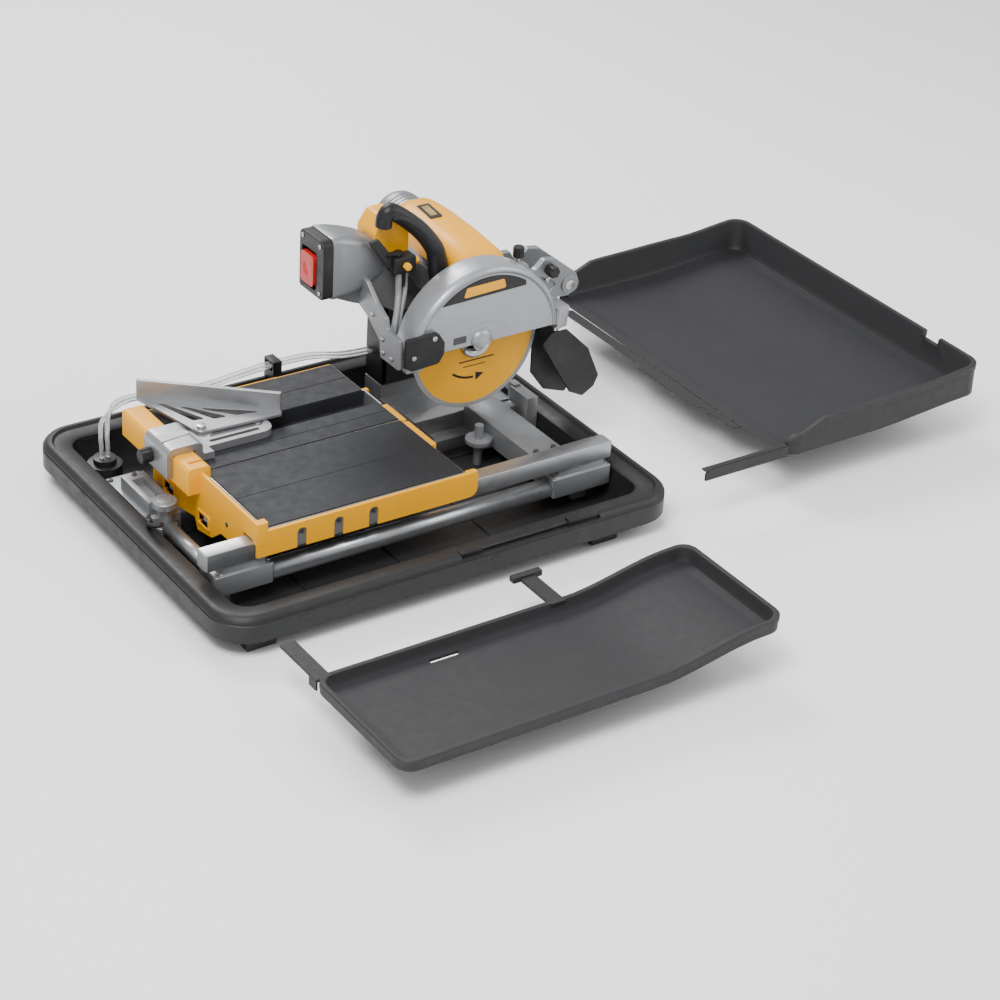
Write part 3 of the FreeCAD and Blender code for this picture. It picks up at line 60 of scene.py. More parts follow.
def surface(name, colour, rough, metal=0.0, grain=0.0, grain_size=900, shade=0.12, spots=6,
            coat=0.0, brushed=None, dirt=0.0, spread=0.08):
    """A painted, moulded or metal surface with uneven tone, uneven gloss and a fine grain."""
    made = bpy.data.materials.new(name)
    made.use_nodes = True
    tree = made.node_tree
    link = tree.links.new

    def fill(node, values):
        for key, value in values.items():
            node.inputs[key].default_value = value
        return node

    def add_node(kind, values):
        return fill(tree.nodes.new("ShaderNode" + kind), values)

    shader = fill(tree.nodes["Principled BSDF"], {"Metallic": metal, "Coat Weight": coat,
        "Coat Roughness": 0.15, "Specular IOR Level": 0.5 if metal else 0.36})
    where = add_node("TexCoord", {}).outputs["Object"]
    tone = add_node("TexNoise", {"Scale": spots, "Detail": 8})
    link(where, tone.inputs["Vector"])
    ramp = add_node("ValToRGB", {})
    low = [c * (1 - shade) for c in colour]
    high = [min(1, c * (1 + shade * 0.5)) for c in colour]
    for stop, position, shown in zip(ramp.color_ramp.elements, TONE_EDGES, (low, high)):
        stop.position = position
        stop.color = (*shown, 1)
    link(tone.outputs["Fac"], ramp.inputs["Fac"])
    colour_out = ramp.outputs["Color"]
    if dirt:
        dust = add_node("TexNoise", {"Scale": 22, "Detail": 12, "Roughness": 0.7})
        link(where, dust.inputs["Vector"])
        pick = add_node("MapRange", {"From Min": 0.52, "From Max": 0.78, "To Max": dirt})
        link(dust.outputs["Fac"], pick.inputs["Value"])
        mix = add_node("MixRGB", {"Color2": DUST_COLOUR})
        link(pick.outputs["Result"], mix.inputs["Fac"])
        link(colour_out, mix.inputs["Color1"])
        colour_out = mix.outputs["Color"]
    link(colour_out, shader.inputs["Base Color"])
    gloss = add_node("TexNoise", {"Scale": 60, "Detail": 6})
    link(where, gloss.inputs["Vector"])
    level = add_node("MapRange", {"From Min": 0.3, "From Max": 0.7,
        "To Min": max(0.02, rough - spread), "To Max": min(1, rough + spread)})
    link(gloss.outputs["Fac"], level.inputs["Value"])
    link(level.outputs["Result"], shader.inputs["Roughness"])
    if grain:
        fine = add_node("TexNoise", {"Scale": grain_size, "Detail": 3})
        if brushed:
            stretch = add_node("Mapping", {"Scale": brushed})
            link(where, stretch.inputs["Vector"])
            link(stretch.outputs["Vector"], fine.inputs["Vector"])
        else:
            link(where, fine.inputs["Vector"])
        bump = add_node("Bump", {"Strength": grain, "Distance": GRAIN_DEPTH})
        link(fine.outputs["Fac"], bump.inputs["Height"])
        link(bump.outputs["Normal"], shader.inputs["Normal"])
    return made


M = {
    "pan": surface("pan_black", (0.012, 0.0125, 0.0135), 0.5, grain=0.35, dirt=0.02,
                   spread=0.06, shade=0.05),
    "tray": surface("tray_black", (0.019, 0.0195, 0.021), 0.58, grain=0.4, dirt=0.01,
                    spread=0.05, shade=0.04),
    "black": surface("black_plastic", (0.01, 0.01, 0.0115), 0.42, grain=0.3, dirt=0.04),
    "soft": surface("soft_grip", (0.02, 0.02, 0.021), 0.68, grain=0.5, grain_size=500),
    "rubber": surface("mat_rubber", (0.017, 0.018, 0.021), 0.62, grain=0.4, dirt=0.015,
                      shade=0.05),
    "flap": surface("flap_rubber", (0.014, 0.0145, 0.016), 0.5, grain=0.3, dirt=0.05),
    "yellow": surface("yellow_plastic", (0.86, 0.38, 0.0), 0.4, coat=0.05, grain=0.12,
                      shade=0.05, dirt=0.03),
    "powder": surface("yellow_powder_coat", (0.86, 0.385, 0.0), 0.46, coat=0.0, grain=0.22,
                      grain_size=600, shade=0.05, dirt=0.05),
    "silver": surface("silver_paint", (0.24, 0.247, 0.258), 0.4, metal=0.55, grain=0.3,
                      grain_size=420, shade=0.1, dirt=0.05),
    "guard": surface("guard_paint", (0.32, 0.33, 0.352), 0.36, metal=0.45, grain=0.12,
                     coat=0.2, shade=0.05, dirt=0.03),
    "rail": surface("anodised_rail", (0.42, 0.43, 0.445), 0.34, metal=0.85, grain=0.06,
                    grain_size=800, brushed=(0.02, 1, 1), shade=0.04, spread=0.05),
    "cast": surface("cast_aluminium", (0.34, 0.345, 0.355), 0.4, metal=0.75, grain=0.35,
                    grain_size=350, shade=0.1, dirt=0.04),
    "steel": surface("bright_steel", (0.5, 0.5, 0.51), 0.28, metal=0.95, grain=0.1, shade=0.1),
    "dark": surface("dark_steel", (0.08, 0.08, 0.085), 0.45, metal=0.6, grain=0.2),
    "brass": surface("brass", (0.6, 0.44, 0.17), 0.35, metal=0.9, grain=0.1),
    "grey": surface("grey_tube", (0.25, 0.26, 0.27), 0.4, grain=0.1, shade=0.05),
    "rim": surface("diamond_rim", (0.35, 0.35, 0.36), 0.55, metal=0.5, grain=0.8, grain_size=700),
    "red": surface("red_plastic", (0.5, 0.012, 0.008), 0.35, coat=0.2, grain=0.1, shade=0.06),
    "copper": surface("copper_wire", (0.5, 0.2, 0.08), 0.35, metal=0.8, grain=0.5,
                      grain_size=250),
    "white": surface("pale_print", (0.75, 0.74, 0.7), 0.5, shade=0.04),
    "core": surface("blade_core", (0.9, 0.42, 0.0), 0.55, metal=0.1, grain=0.2, shade=0.05,
                    dirt=0.04),
}


def vinyl():
    made = surface("clear_vinyl", (0.86, 0.88, 0.9), 0.18, grain=0.05, shade=0.05)
    shader = made.node_tree.nodes["Principled BSDF"]
    shader.inputs["Transmission Weight"].default_value = 0.75
    shader.inputs["IOR"].default_value = 1.45
    return made


M["vinyl"] = vinyl()


# ---------------------------------------------------------------- mesh helpers

MERGE_DISTANCE = 1e-6
SEAM_DISTANCE = 0.000005
BODY_OF = {n: b for b, ns in frame["record"]["behaviour"]["bodies"].items() for n in ns}


def mesh_object(name, verts, faces):
    mesh = bpy.data.meshes.new(name)
    mesh.from_pydata([Vector(v) * MM for v in verts], [], faces)
    mesh.validate()
    obj = bpy.data.objects.new(name, mesh)
    bpy.context.scene.collection.objects.link(obj)
    bm = bmesh.new()
    bm.from_mesh(mesh)
    bmesh.ops.remove_doubles(bm, verts=bm.verts, dist=MERGE_DISTANCE)
    bmesh.ops.recalc_face_normals(bm, faces=bm.faces)
    bm.to_mesh(mesh)
    bm.free()
    return obj


def spread_out(point, plane, along):
    u, v = point
    return {"XY": (u, v, along), "XZ": (u, along, v), "YZ": (along, u, v)}[plane]


def rounded_outline(points, radius, steps=6):
    """A polygon with each corner rounded; radius is one number, or one for each corner."""
    out = []
    count = len(points)
    for i in range(count):
        size = radius[i] if isinstance(radius, (list, tuple)) else radius
        here = Vector(points[i])
        before = Vector(points[i - 1]) - here
        after = Vector(points[(i + 1) % count]) - here
        if size <= 0:
            out.append(tuple(here))
            continue
        angle = before.angle(after)
        reach = min(size / math.tan(angle / 2), before.length * 0.49, after.length * 0.49)
        a = here + before.normalized() * reach
        b = here + after.normalized() * reach
        for k in range(steps + 1):
            t = k / steps
            p = a * (1 - t) ** 2 + here * (2 * t * (1 - t)) + b * t ** 2
            out.append(tuple(p))
    return out


def arc(cx, cy, r, start, end, steps=24):
    return [(cx + r * math.cos(math.radians(start + (end - start) * k / steps)),
        cy + r * math.sin(math.radians(start + (end - start) * k / steps)))
        for k in range(steps + 1)]


def prism(name, outline, plane, low, high):
    count = len(outline)
    verts = [spread_out(p, plane, low) for p in outline]
    verts += [spread_out(p, plane, high) for p in outline]
    faces = [list(range(count)), list(range(count, 2 * count))]
    faces += [[i, (i + 1) % count, count + (i + 1) % count, count + i] for i in range(count)]
    return mesh_object(name, verts, faces)


def slab(name, points, radius, plane, low, high, steps=6):
    """A prism with rounded corners."""
    return prism(name, rounded_outline(points, radius, steps), plane, low, high)


def block(name, xs, ys, zs):
    return prism(name, [(xs[0], ys[0]), (xs[1], ys[0]), (xs[1], ys[1]), (xs[0], ys[1])], "XY",
        zs[0], zs[1])


def turned(name, axis, centre, profile, steps=96):
    """A solid of revolution: profile is a list of (radius, distance along the axis)."""
    verts, faces = [], []
    count = len(profile)
    for i in range(steps):
        c, s = math.cos(2 * math.pi * i / steps), math.sin(2 * math.pi * i / steps)
        for r, h in profile:
            offset = {"X": (h, r * c, r * s), "Y": (r * c, h, r * s), "Z": (r * c, r * s, h)}[axis]
            verts.append(tuple(a + b for a, b in zip(centre, offset)))
    for i in range(steps):
        j = (i + 1) % steps
        for k in range(count - 1):
            faces.append([i * count + k, j * count + k, j * count + k + 1, i * count + k + 1])
        if profile[0][0] > 1e-6 or profile[-1][0] > 1e-6:
            faces.append([i * count + count - 1, j * count + count - 1, j * count, i * count])
    return mesh_object(name, verts, faces)


def disc(name, axis, centre, radius, length, edge=1.0, steps=64):
    edge = min(edge, radius * 0.45, length * 0.45)
    profile = [(0, 0), (radius - edge, 0), (radius - edge * 0.3, edge * 0.3), (radius, edge),
        (radius, length - edge), (radius - edge * 0.3, length - edge * 0.3),
        (radius - edge, length), (0, length)]
    return turned(name, axis, centre, profile, steps)


def skin(name, loops, cap_first=True, cap_last=True):
    """A surface through loops with the same number of points."""
    count = len(loops[0])
    verts = [p for loop in loops for p in loop]
    faces = []
    for i in range(len(loops) - 1):
        for k in range(count):
            m = (k + 1) % count
            faces.append([i * count + k, i * count + m, (i + 1) * count + m, (i + 1) * count + k])
    if cap_first:
        faces.append(list(range(count)))
    if cap_last:
        faces.append(list(range((len(loops) - 1) * count, len(loops) * count)))
    return mesh_object(name, verts, faces)


def tub(name, loops, steps, per_side):
    """A skin through rings whose two ends are closed by strips that run across in Y."""
    obj = skin(name, loops, False, False)
    bm = bmesh.new()
    count = len(loops[0])
    far = 2 * steps + per_side
    pairs = [(i, far - i) for i in range(far // 2, 0, -1)]
    pairs += [(-j % count, far + j) for j in range((count - far) // 2 + 1)]
    for loop in (loops[0], loops[-1]):
        verts = [bm.verts.new(Vector(p) * MM) for p in loop]
        for (a, d), (b, c) in zip(pairs, pairs[1:]):
            corners = []
            for k in (a, b, c, d):
                if verts[k % count] not in corners:
                    corners.append(verts[k % count])
            if len(corners) > 2:
                bm.faces.new(corners)
    bm.from_mesh(obj.data)
    bmesh.ops.remove_doubles(bm, verts=bm.verts, dist=MERGE_DISTANCE)
    bmesh.ops.recalc_face_normals(bm, faces=bm.faces)
    bm.to_mesh(obj.data)
    bm.free()
    return obj


def ring(half_x, half_y, radius, z, cx=0, cy=0, steps=10, per_side=1):
    """A rounded rectangle as one loop; z is a number or a function of (x, y)."""
    flat = []
    for sx, sy, start in ((1, -1, -90), (1, 1, 0), (-1, 1, 90), (-1, -1, 180)):
        flat += arc(cx + sx * (half_x - radius), cy + sy * (half_y - radius), radius, start,
            start + 90, steps)
    full = []
    for i, p in enumerate(flat):
        q = flat[(i + 1) % len(flat)]
        parts = per_side if (i + 1) % (steps + 1) == 0 else 1
        for k in range(parts):
            t = k / parts
            full.append((p[0] + (q[0] - p[0]) * t, p[1] + (q[1] - p[1]) * t))
    return [(x, y, z(x, y) if callable(z) else z) for x, y in full]


def smooth_path(points, steps=8):
    """A Catmull-Rom curve through the points."""
    pts = [Vector(p) for p in points]
    pts = [pts[0] * 2 - pts[1]] + pts + [pts[-1] * 2 - pts[-2]]
    out = []
    for a, b, c, d in zip(pts, pts[1:], pts[2:], pts[3:]):
        for k in range(steps):
            t = k / steps
            out.append(0.5 * (2 * b + (c - a) * t + (2 * a - 5 * b + 4 * c - d) * t * t
                + (3 * b - a - 3 * c + d) * t ** 3))
    out.append(pts[-2])
    return out


def swept(name, points, radius, flat=1.0, steps=8, around=24):
    """A tube along a smooth path; radius is a number or a function of the share of the way."""
    path = smooth_path(points, steps)
    up = Vector((0, 0, 1))
    first = (path[1] - path[0]).normalized()
    side = first.cross(up)
    side = side.normalized() if side.length > 1e-3 else Vector((1, 0, 0))
    loops = []
    for i, p in enumerate(path):
        ahead = (path[min(i + 1, len(path) - 1)] - path[max(i - 1, 0)]).normalized()
        side = (side - ahead * side.dot(ahead)).normalized()
        over = ahead.cross(side)
        share = i / (len(path) - 1)
        r = radius(share) if callable(radius) else radius
        loops.append([tuple(p + side * (r * math.cos(2 * math.pi * k / around))
            + over * (r * flat * math.sin(2 * math.pi * k / around))) for k in range(around)])
    return skin(name, loops)


def settle(obj):
    """Make the modifiers' result the object's own mesh."""
    graph = bpy.context.evaluated_depsgraph_get()
    mesh = bpy.data.meshes.new_from_object(obj.evaluated_get(graph))
    obj.modifiers.clear()
    obj.data = mesh
    return obj


def combine(obj, others, how):
    for other in others:
        tool = obj.modifiers.new("tool", "BOOLEAN")
        tool.object = other
        tool.operation = how
        tool.solver = "EXACT"
        settle(obj)
        bpy.data.objects.remove(other)
    return obj


def carve(obj, *others):
    return combine(obj, others, "DIFFERENCE")


def weld(obj, *others):
    return combine(obj, others, "UNION")


def join(name, objs):
    """Several meshes as one object, keeping their materials."""
    bpy.ops.object.select_all(action="DESELECT")
    for obj in objs:
        obj.select_set(True)
    bpy.context.view_layer.objects.active = objs[0]
    bpy.ops.object.join()
    objs[0].name = name
    return objs[0]


def bevel(obj, width, segments, angle):
    edges = obj.modifiers.new("edges", "BEVEL")
    edges.width = width * MM
    edges.segments = segments
    edges.limit_method = "ANGLE"
    edges.angle_limit = math.radians(angle)
    edges.harden_normals = True
    return edges


def shade_smooth(obj):
    obj.data.polygons.foreach_set("use_smooth", [True] * len(obj.data.polygons))


def soften(obj, width, segments=3, angle=35):
    """Bevel a piece's edges, or with no width only mark the sharp ones."""
    if width:
        bevel(obj, width, segments, angle).miter_outer = "MITER_ARC"
    shade_smooth(obj)
    if not width:
        bm = bmesh.new()
        bm.from_mesh(obj.data)
        for edge in bm.edges:
            if len(edge.link_faces) == 2 and edge.calc_face_angle(0) > math.radians(angle):
                edge.smooth = False
        bm.to_mesh(obj.data)
        bm.free()
    return obj


def finish(obj, material, edge=0.8, segments=3, angle=35):
    """Give a piece its material and soft edges."""
    obj.data.materials.clear()
    obj.data.materials.append(M[material])
    return soften(obj, edge, segments, angle)


def on(node, *objs, keep=False):
    """These pieces stand for a CAD node and ride on its body."""
    for obj in objs:
        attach(obj, BODY_OF[node])
    if not keep:
        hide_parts(node)
    return objs[0]


def stand(node, obj, material, edge=0.8, segments=3, angle=35):
    """A finished piece that stands for a CAD node."""
    return on(node, finish(obj, material, edge, segments, angle))


def add(node, obj, material, edge=0.8, segments=3, angle=35):
    """A finished piece that joins a CAD node."""
    return on(node, finish(obj, material, edge, segments, angle), keep=True)


def keep(node, material, edge=0.8, segments=3, angle=35):
    """Show a CAD node as it is, with soft edges."""
    obj = NODES[node]
    obj.data.materials.clear()
    obj.data.materials.append(M[material])
    seams = obj.modifiers.new("seams", "WELD")
    seams.merge_threshold = SEAM_DISTANCE
    if edge:
        bevel(obj, edge, segments, angle)
    shade_smooth(obj)


def screw(name, axis, spot, radius=4.0, height=2.5, material="steel"):
    """A round screw head with a cross in it, standing out along -axis or +axis."""
    head = disc(name, axis[-1], (0, 0, 0), radius, height, 0.9, 32)
    way = -1 if axis[0] == "-" else 1
    bar = radius * 0.62
    letter = axis[-1]
    for turn in (0, 1):
        a, b = (bar, radius * 0.16) if turn else (radius * 0.16, bar)
        if letter == "Y":
            cutter = block("slot", (-a, a), (height - 1.0, height + 1), (-b, b))
        elif letter == "X":
            cutter = block("slot", (height - 1.0, height + 1), (-a, a), (-b, b))
        else:
            cutter = block("slot", (-a, a), (-b, b), (height - 1.0, height + 1))
        carve(head, cutter)
    if way < 0:
        head.data.transform(Matrix.Rotation(math.pi, 4, "Z" if letter != "Z" else "X"))
    head.data.transform(Matrix.Translation(Vector(spot) * MM))
    return finish(head, material, 0)


def bolt(node, *words):
    """A screw head that joins a CAD node."""
    return on(node, screw(*words), keep=True)


# ---------------------------------------------------------------- water pan

def water_pan():
    sections = [(380, 295, 28, 0), (388, 303, 30, 1), (393, 308, 34, 8), (394, 309, 36, 62),
        (398, 313, 40, 62), (436, 351, 64, 62), (436, 351, 64, 30), (439.4, 354.4, 68, 30),
        (439.4, 354.4, 68, 60), (437.5, 352.5, 66, 61.5), (437.5, 352.5, 66, 64),
        (439, 354, 67, 65.5), (438, 353, 67, 68), (434, 349, 63, 72.5), (430, 345, 60, 75),
        (424, 339, 55, 75), (420, 335, 50, 70), (418, 333, 48, 70), (396, 311, 36, 69),
        (392, 307, 32, 66), (389, 303, 30, 12), (385, 299, 28, 6), (375, 289, 25, 4.5)]
    shell = skin("water_pan_shell", [ring(*s, steps=12) for s in sections])
    notch = block("notch", (-5, 272), (-362, -334), (68, 80))
    carve(shell, notch)
    drain = disc("drain", "Y", (-294, -330, 16), 9, 60)
    carve(shell, drain)
    stand("water_pan", shell, "pan", 0)
    feet = []
    for x in (-364, 302):
        for y in (-318, 318):
            foot = block("foot", (x - 27, x + 27), (y - 12, y + 12), (0, 62.5))
            feet.append(settle(soften(foot, 2.5)))
    feet = join("pan_feet", feet)
    add("water_pan", feet, "pan", 0)
    ribs = [block("rib", (-340, 340), (y - 2, y + 2), (4, 7)) for y in (-150, -60, 30, 200)]
    ribs += [block("rib", (x - 2, x + 2), (-260, 260), (4, 6.5)) for x in (-220, -40, 140)]
    ribs = join("pan_floor_ribs", ribs)
    add("water_pan", ribs, "pan", 0.8)
    clips = [settle(soften(block("clip", (x - 9, x + 9), (-355.6, -350.5), (50, 58.5)),
        1.5)) for x in (-300, -215, 60)]
    clips += [settle(soften(block("clip", (-440, -435.5), (y - 9, y + 9), (50, 58.5)),
        1.5)) for y in (-240, -60, 150)]
    add("water_pan", join("pan_rim_catches", clips), "pan", 0)


# ---------------------------------------------------------------- cart

ADJUSTERS = (-234, -165, -99)
LONG_TICK, SHORT_TICK = 6, 3.5
WINDOWS = ((-72, -31), (47, 89))
KERF = (-21, -15)


def cart():
    outline = rounded_outline([(-317, 96), (104, 96), (104, 142), (-317, 142)], [3, 18, 8, 2])
    skirt = prism("cart_skirt", outline, "XZ", -228, -224)
    for x in ADJUSTERS:
        slot = prism("slot", [(x - 9, 90), (x + 9, 90)] + arc(x, 122, 9, 0, 180, 16), "XZ", -230,
            -220)
        carve(skirt, slot)
    top = slab("cart_top_edge", [(-317, -228), (104, -228), (104, -216), (84, -216), (84, -221.9),
        (-317, -221.9)], [0, 8, 6, 2, 0, 0], "XY", 134, 142)
    weld(skirt, top)
    stand("cart_frame", skirt, "powder", 1.8)
    backing = []
    for x in ADJUSTERS:
        backing.append(block("backing", (x - 12, x + 12), (-225.5, -223), (98, 136)))
    add("cart_frame", join("cart_slot_backing", backing), "silver", 0)
    for i, x in enumerate(ADJUSTERS):
        bolt("cart_frame", f"cart_adjuster_{i}", "-Y", (x, -225.6, 124), 4.2, 2, "dark")
    end = prism("cart_end_plate", [(-227.9, 97), (-224, 97), (-224, 124), (-184, 124), (-184, 82),
        (-109, 80), (-79, 56), (-30, 46), (-20, 66), (43, 54), (82, 54), (82, 64), (128, 64),
        (128, 120), (196, 120), (196, 158), (-227.9, 158)], "YZ", -317.3, -311)
    frames = []
    for low, high in WINDOWS:
        rim = slab("rim", [(low, 61), (high, 61), (high, 90), (low, 90)], 5, "YZ", -319.5, -312)
        hole = [(low + 5, 66), (high - 5, 66), (high - 5, 85), (low + 5, 85)]
        for plate in (rim, end):
            carve(plate, slab("hole", hole, 3, "YZ", -330, -300))
        frames.append(rim)
    add("cart_frame", end, "powder", 1.6)
    for i, rim in enumerate(frames):
        rim.name = f"end_window_frame_{i}"
        add("cart_frame", rim, "powder", 0.8)
    for i, (low, high) in enumerate(WINDOWS):
        pane = block(f"end_window_label_{i}", (-313.5, -311.5), (low + 4, high - 4), (65, 86))
        add("cart_frame", pane, "black", 0.3)
        bars = [block("bar", (-314, -313), (low + 9 + 5 * k, low + 11.5 + 5 * k),
            (72, 80)) for k in range(4)]
        add("cart_frame", join(f"end_window_marks_{i}", bars), "white", 0)
    for i, y in enumerate((-130, 10)):
        bolt("cart_frame", f"end_plate_screw_{i}", "-X", (-317.1, y, 108), 4, 1.8, "dark")
    fence = slab("fence_box_cover", [(-340, 120), (-298, 120), (-298, 169), (-340, 169)],
        [2, 2, 9, 9], "XZ", -40, 196, 8)
    carve(fence, block("kerf", (-328, -290), KERF, (128, 180)))
    add("cart_frame", fence, "powder", 2.2)
    corner = slab("corner_post", [(-317.6, -228.7), (-297, -228.7), (-297, -214), (-317.6, -214)],
        [7, 2, 2, 1], "XY", 118, 158.6)
    add("cart_frame", corner, "powder", 1.6)
    far = block("cart_far_skirt", (-312, 82), (215, 219), (120, 142))
    add("cart_frame", far, "powder", 1)
    ribs = []
    for x in (-296, 61):
        ribs.append(block("rib", (x, x + 20), (-224, 48), (124, 140)))
        ribs.append(block("rib", (x, x + 20), (108, 216), (124, 140)))
    ribs.append(block("rib", (-314, -293), (-225, 48), (124, 139.5)))
    ribs = join("cart_cross_members", ribs)
    carve(ribs, block("kerf", (-288, 100), KERF, (128, 150)))
    add("cart_frame", ribs, "powder", 1)
    bar = block("cart_end_bar", (82.2, 96), (-111, 117), (107, 140))
    carve(bar, block("kerf", (60, 100), KERF, (128, 150)), block("room", (60, 100),
        (48.5, 107.5), (112, 150)))
    add("cart_frame", bar, "powder", 1.6)
    keep("table_plate", "rail", 0.5)
    mats = []
    for low, high in ((-219, -21), (-15, 52), (104, 212)):
        mat = block("mat", (-295, 79), (low, high), (142.5, 145))
        mats.append(mat)
    mats = join("table_mat_strips", mats)
    for y in (-120, 20, 158):
        carve(mats, block("groove", (-296, 80), (y - 0.7, y + 0.7), (144.2, 146)))
    stand("table_mats", mats, "rubber", 0.5)
    lining = join("trough_lining", [block("lining", (-286, 84), (52.2, 103.8), (115.8, 117)),
        block("lining", (-288, 82), (52, 53), (116, 143)), block("lining", (-288, 82), (103, 104),
        (116, 143)), block("lining", (-288, -287), (52, 104), (116, 143))])
    add("table_plate", lining, "rubber", 0.2)
    strip = [block("strip", (-286, 80), (y - 2, y + 2), (117, 119.5)) for y in (64, 78, 92)]
    add("table_plate", join("trough_ribs", strip), "rubber", 0.6)
    keep("fence_ruler", "black", 0.6)
    ticks = []
    for k in range(17):
        wide = LONG_TICK if k % 5 == 0 else SHORT_TICK
        y = -208 + 10 * k
        ticks.append(block("tick", (-301.6 - wide, -301.6), (y - 0.4, y + 0.4), (146.9, 147.25)))
    add("fence_ruler", join("ruler_ticks", ticks), "white", 0)
    for i, y in enumerate((-206, -48)):
        bolt("fence_ruler", f"ruler_screw_{i}", "Z", (-306, y, 147), 3, 1.4)
    edge = block("table_far_strip", (-150, -30), (212.4, 214.6), (142.5, 145.4))
    add("table_plate", edge, "powder", 0.4)
    keep("end_bumper", "black", 1.5)
    for name in ("front_roller_a", "front_roller_b", "rear_roller_a", "rear_roller_b"):
        keep(name, "black", 0.8)
    keep("roller_axles", "steel", 0.3)
    keep("rear_roller_bracket", "silver", 1)


# ---------------------------------------------------------------- angle guide

def guide():
    outline = rounded_outline([(-352, 128), (-352, 183), (-284, 183), (-284, 160), (-262, 160),
        (-262, 146.1), (-297.7, 146.1), (-297.7, 169.5), (-340.3, 169.5), (-340.3, 128)],
        [3, 16, 14, 4, 3, 0, 1, 3, 3, 2], 8)
    clamp = prism("guide_clamp_saddle", outline, "XZ", 12, 92)
    carve(clamp, disc("bore", "X", (-360, 68, 150), 4.1, 22, 0))
    stand("guide_clamp", clamp, "cast", 3)
    ridge = slab("clamp_top_rib", [(-346, 40), (-290, 46), (-290, 58), (-346, 64)], 4, "XY", 180,
        184.4)
    add("guide_clamp", ridge, "cast", 0.9)
    arm = slab("guide_arm_plate", [(-266, 31), (-134, 31), (-134, 89), (-266, 89)], [1, 27, 27, 1],
        "XY", 146, 160, 12)
    carve(arm, slab("slot", [(-254, 41), (-160, 41), (-160, 49), (-254, 49)], 3.9, "XY", 140, 170))
    carve(arm, slab("recess", [(-250, 54), (-150, 54), (-140, 66), (-150, 74), (-232, 74)], 4,
        "XY", 157.5, 170))
    add("guide_clamp", arm, "cast", 1.6)
    bolt("guide_clamp", "guide_arm_screw", "Z", (-152, 64, 157.5), 5.5, 2.4)
    web = slab("guide_plate_web", [(-100, 76), (-106, 62), (-256, 70), (-264, 86), (-296, 226),
        (-288, 232)], [2, 4, 14, 14, 4, 2], "XY", 160.6, 165.6)
    for hole in ([(-250, 112), (-228, 106), (-266, 188), (-276, 196)],
            [(-216, 100), (-190, 96), (-236, 158), (-250, 170)], [(-176, 94), (-128, 84),
            (-212, 142), (-218, 140)]):
        carve(web, slab("window", hole, [5, 5, 3, 3], "XY", 150, 180))
    carve(web, disc("bore", "Z", (-250, 82, 150), 5.05, 40, 0))
    stand("guide_plate", web, "cast", 1)
    face = prism("guide_plate_face", [(-98, 78), (-103, 72), (-296, 230), (-291, 236)], "XY", 161,
        198.6)
    add("guide_plate", face, "cast", 1.6)
    boss = turned("guide_pivot_boss", "Z", (-250, 82, 0), [(5.1, 165.5), (13, 165.5),
        (12.2, 166.4), (5.1, 166.4)], 48)
    add("guide_plate", boss, "cast", 0, angle=30)
    keep("guide_pivot_pin", "steel", 0.7)
    stand("guide_knob", lobed("guide_knob_grip", "X", (-372.3, 68, 150), 13, 20, 8, 0.1), "black",
        1.4)
    stem = disc("guide_knob_stem", "X", (-353, 68, 150), 4, 12, 0.5, 32)
    add("guide_knob", stem, "steel", 0)


def lobed(name, axis, centre, radius, length, lobes, depth):
    """A knob with rounded lobes, running from its centre point along its axis."""
    outline = []
    for k in range(lobes * 12):
        a = 2 * math.pi * k / (lobes * 12)
        r = radius * (1 - depth * (0.5 - 0.5 * math.cos(lobes * a)))
        outline.append((r * math.cos(a), r * math.sin(a)))
    plane = {"X": "YZ", "Y": "XZ", "Z": "XY"}[axis]
    obj = prism(name, outline, plane, 0, length)
    obj.data.transform(Matrix.Translation(Vector(centre) * MM))
    return obj


# ---------------------------------------------------------------- blade and guard

BLADE = (227, 0, 262)


def blade_set():
    core = turned("blade_core_disc", "Y", BLADE, [(8, -19.1), (119, -19.1), (119, -16.9),
        (8, -16.9)], 144)
    stand("blade", core, "core", 0)
    rim = turned("blade_rim_ring", "Y", BLADE, [(118.5, -19.3), (126.6, -19.3), (127, -18.9),
        (127, -17.1), (126.6, -16.7), (118.5, -16.7)], 144)
    add("blade", rim, "rim", 0)
    front, back = -19.45, -19.1

    def spot(radius, degrees):
        return (BLADE[0] + radius * math.cos(math.radians(degrees)),
            BLADE[2] + radius * math.sin(math.radians(degrees)))

    tail = [spot(72, -128 + 2 * k) for k in range(20)]
    tail += [spot(72 * 0.94, -90 - 2 * k) for k in range(20)]
    marks = [prism("mark", tail, "XZ", front, back), prism("tip", [spot(62, -86), spot(78, -86),
        spot(70, -72)], "XZ", front, back)]
    marks.append(block("bar", (196, 268), (front, back), (224, 226.5)))
    marks.append(block("bar", (205, 250), (front, back), (214, 215.6)))
    add("blade", join("blade_print", marks), "black", 0)
    keep("blade_clamp", "steel", 0.6)
    keep("spindle", "steel", 0.5)
    keep("spindle_bearing", "steel", 0.3)


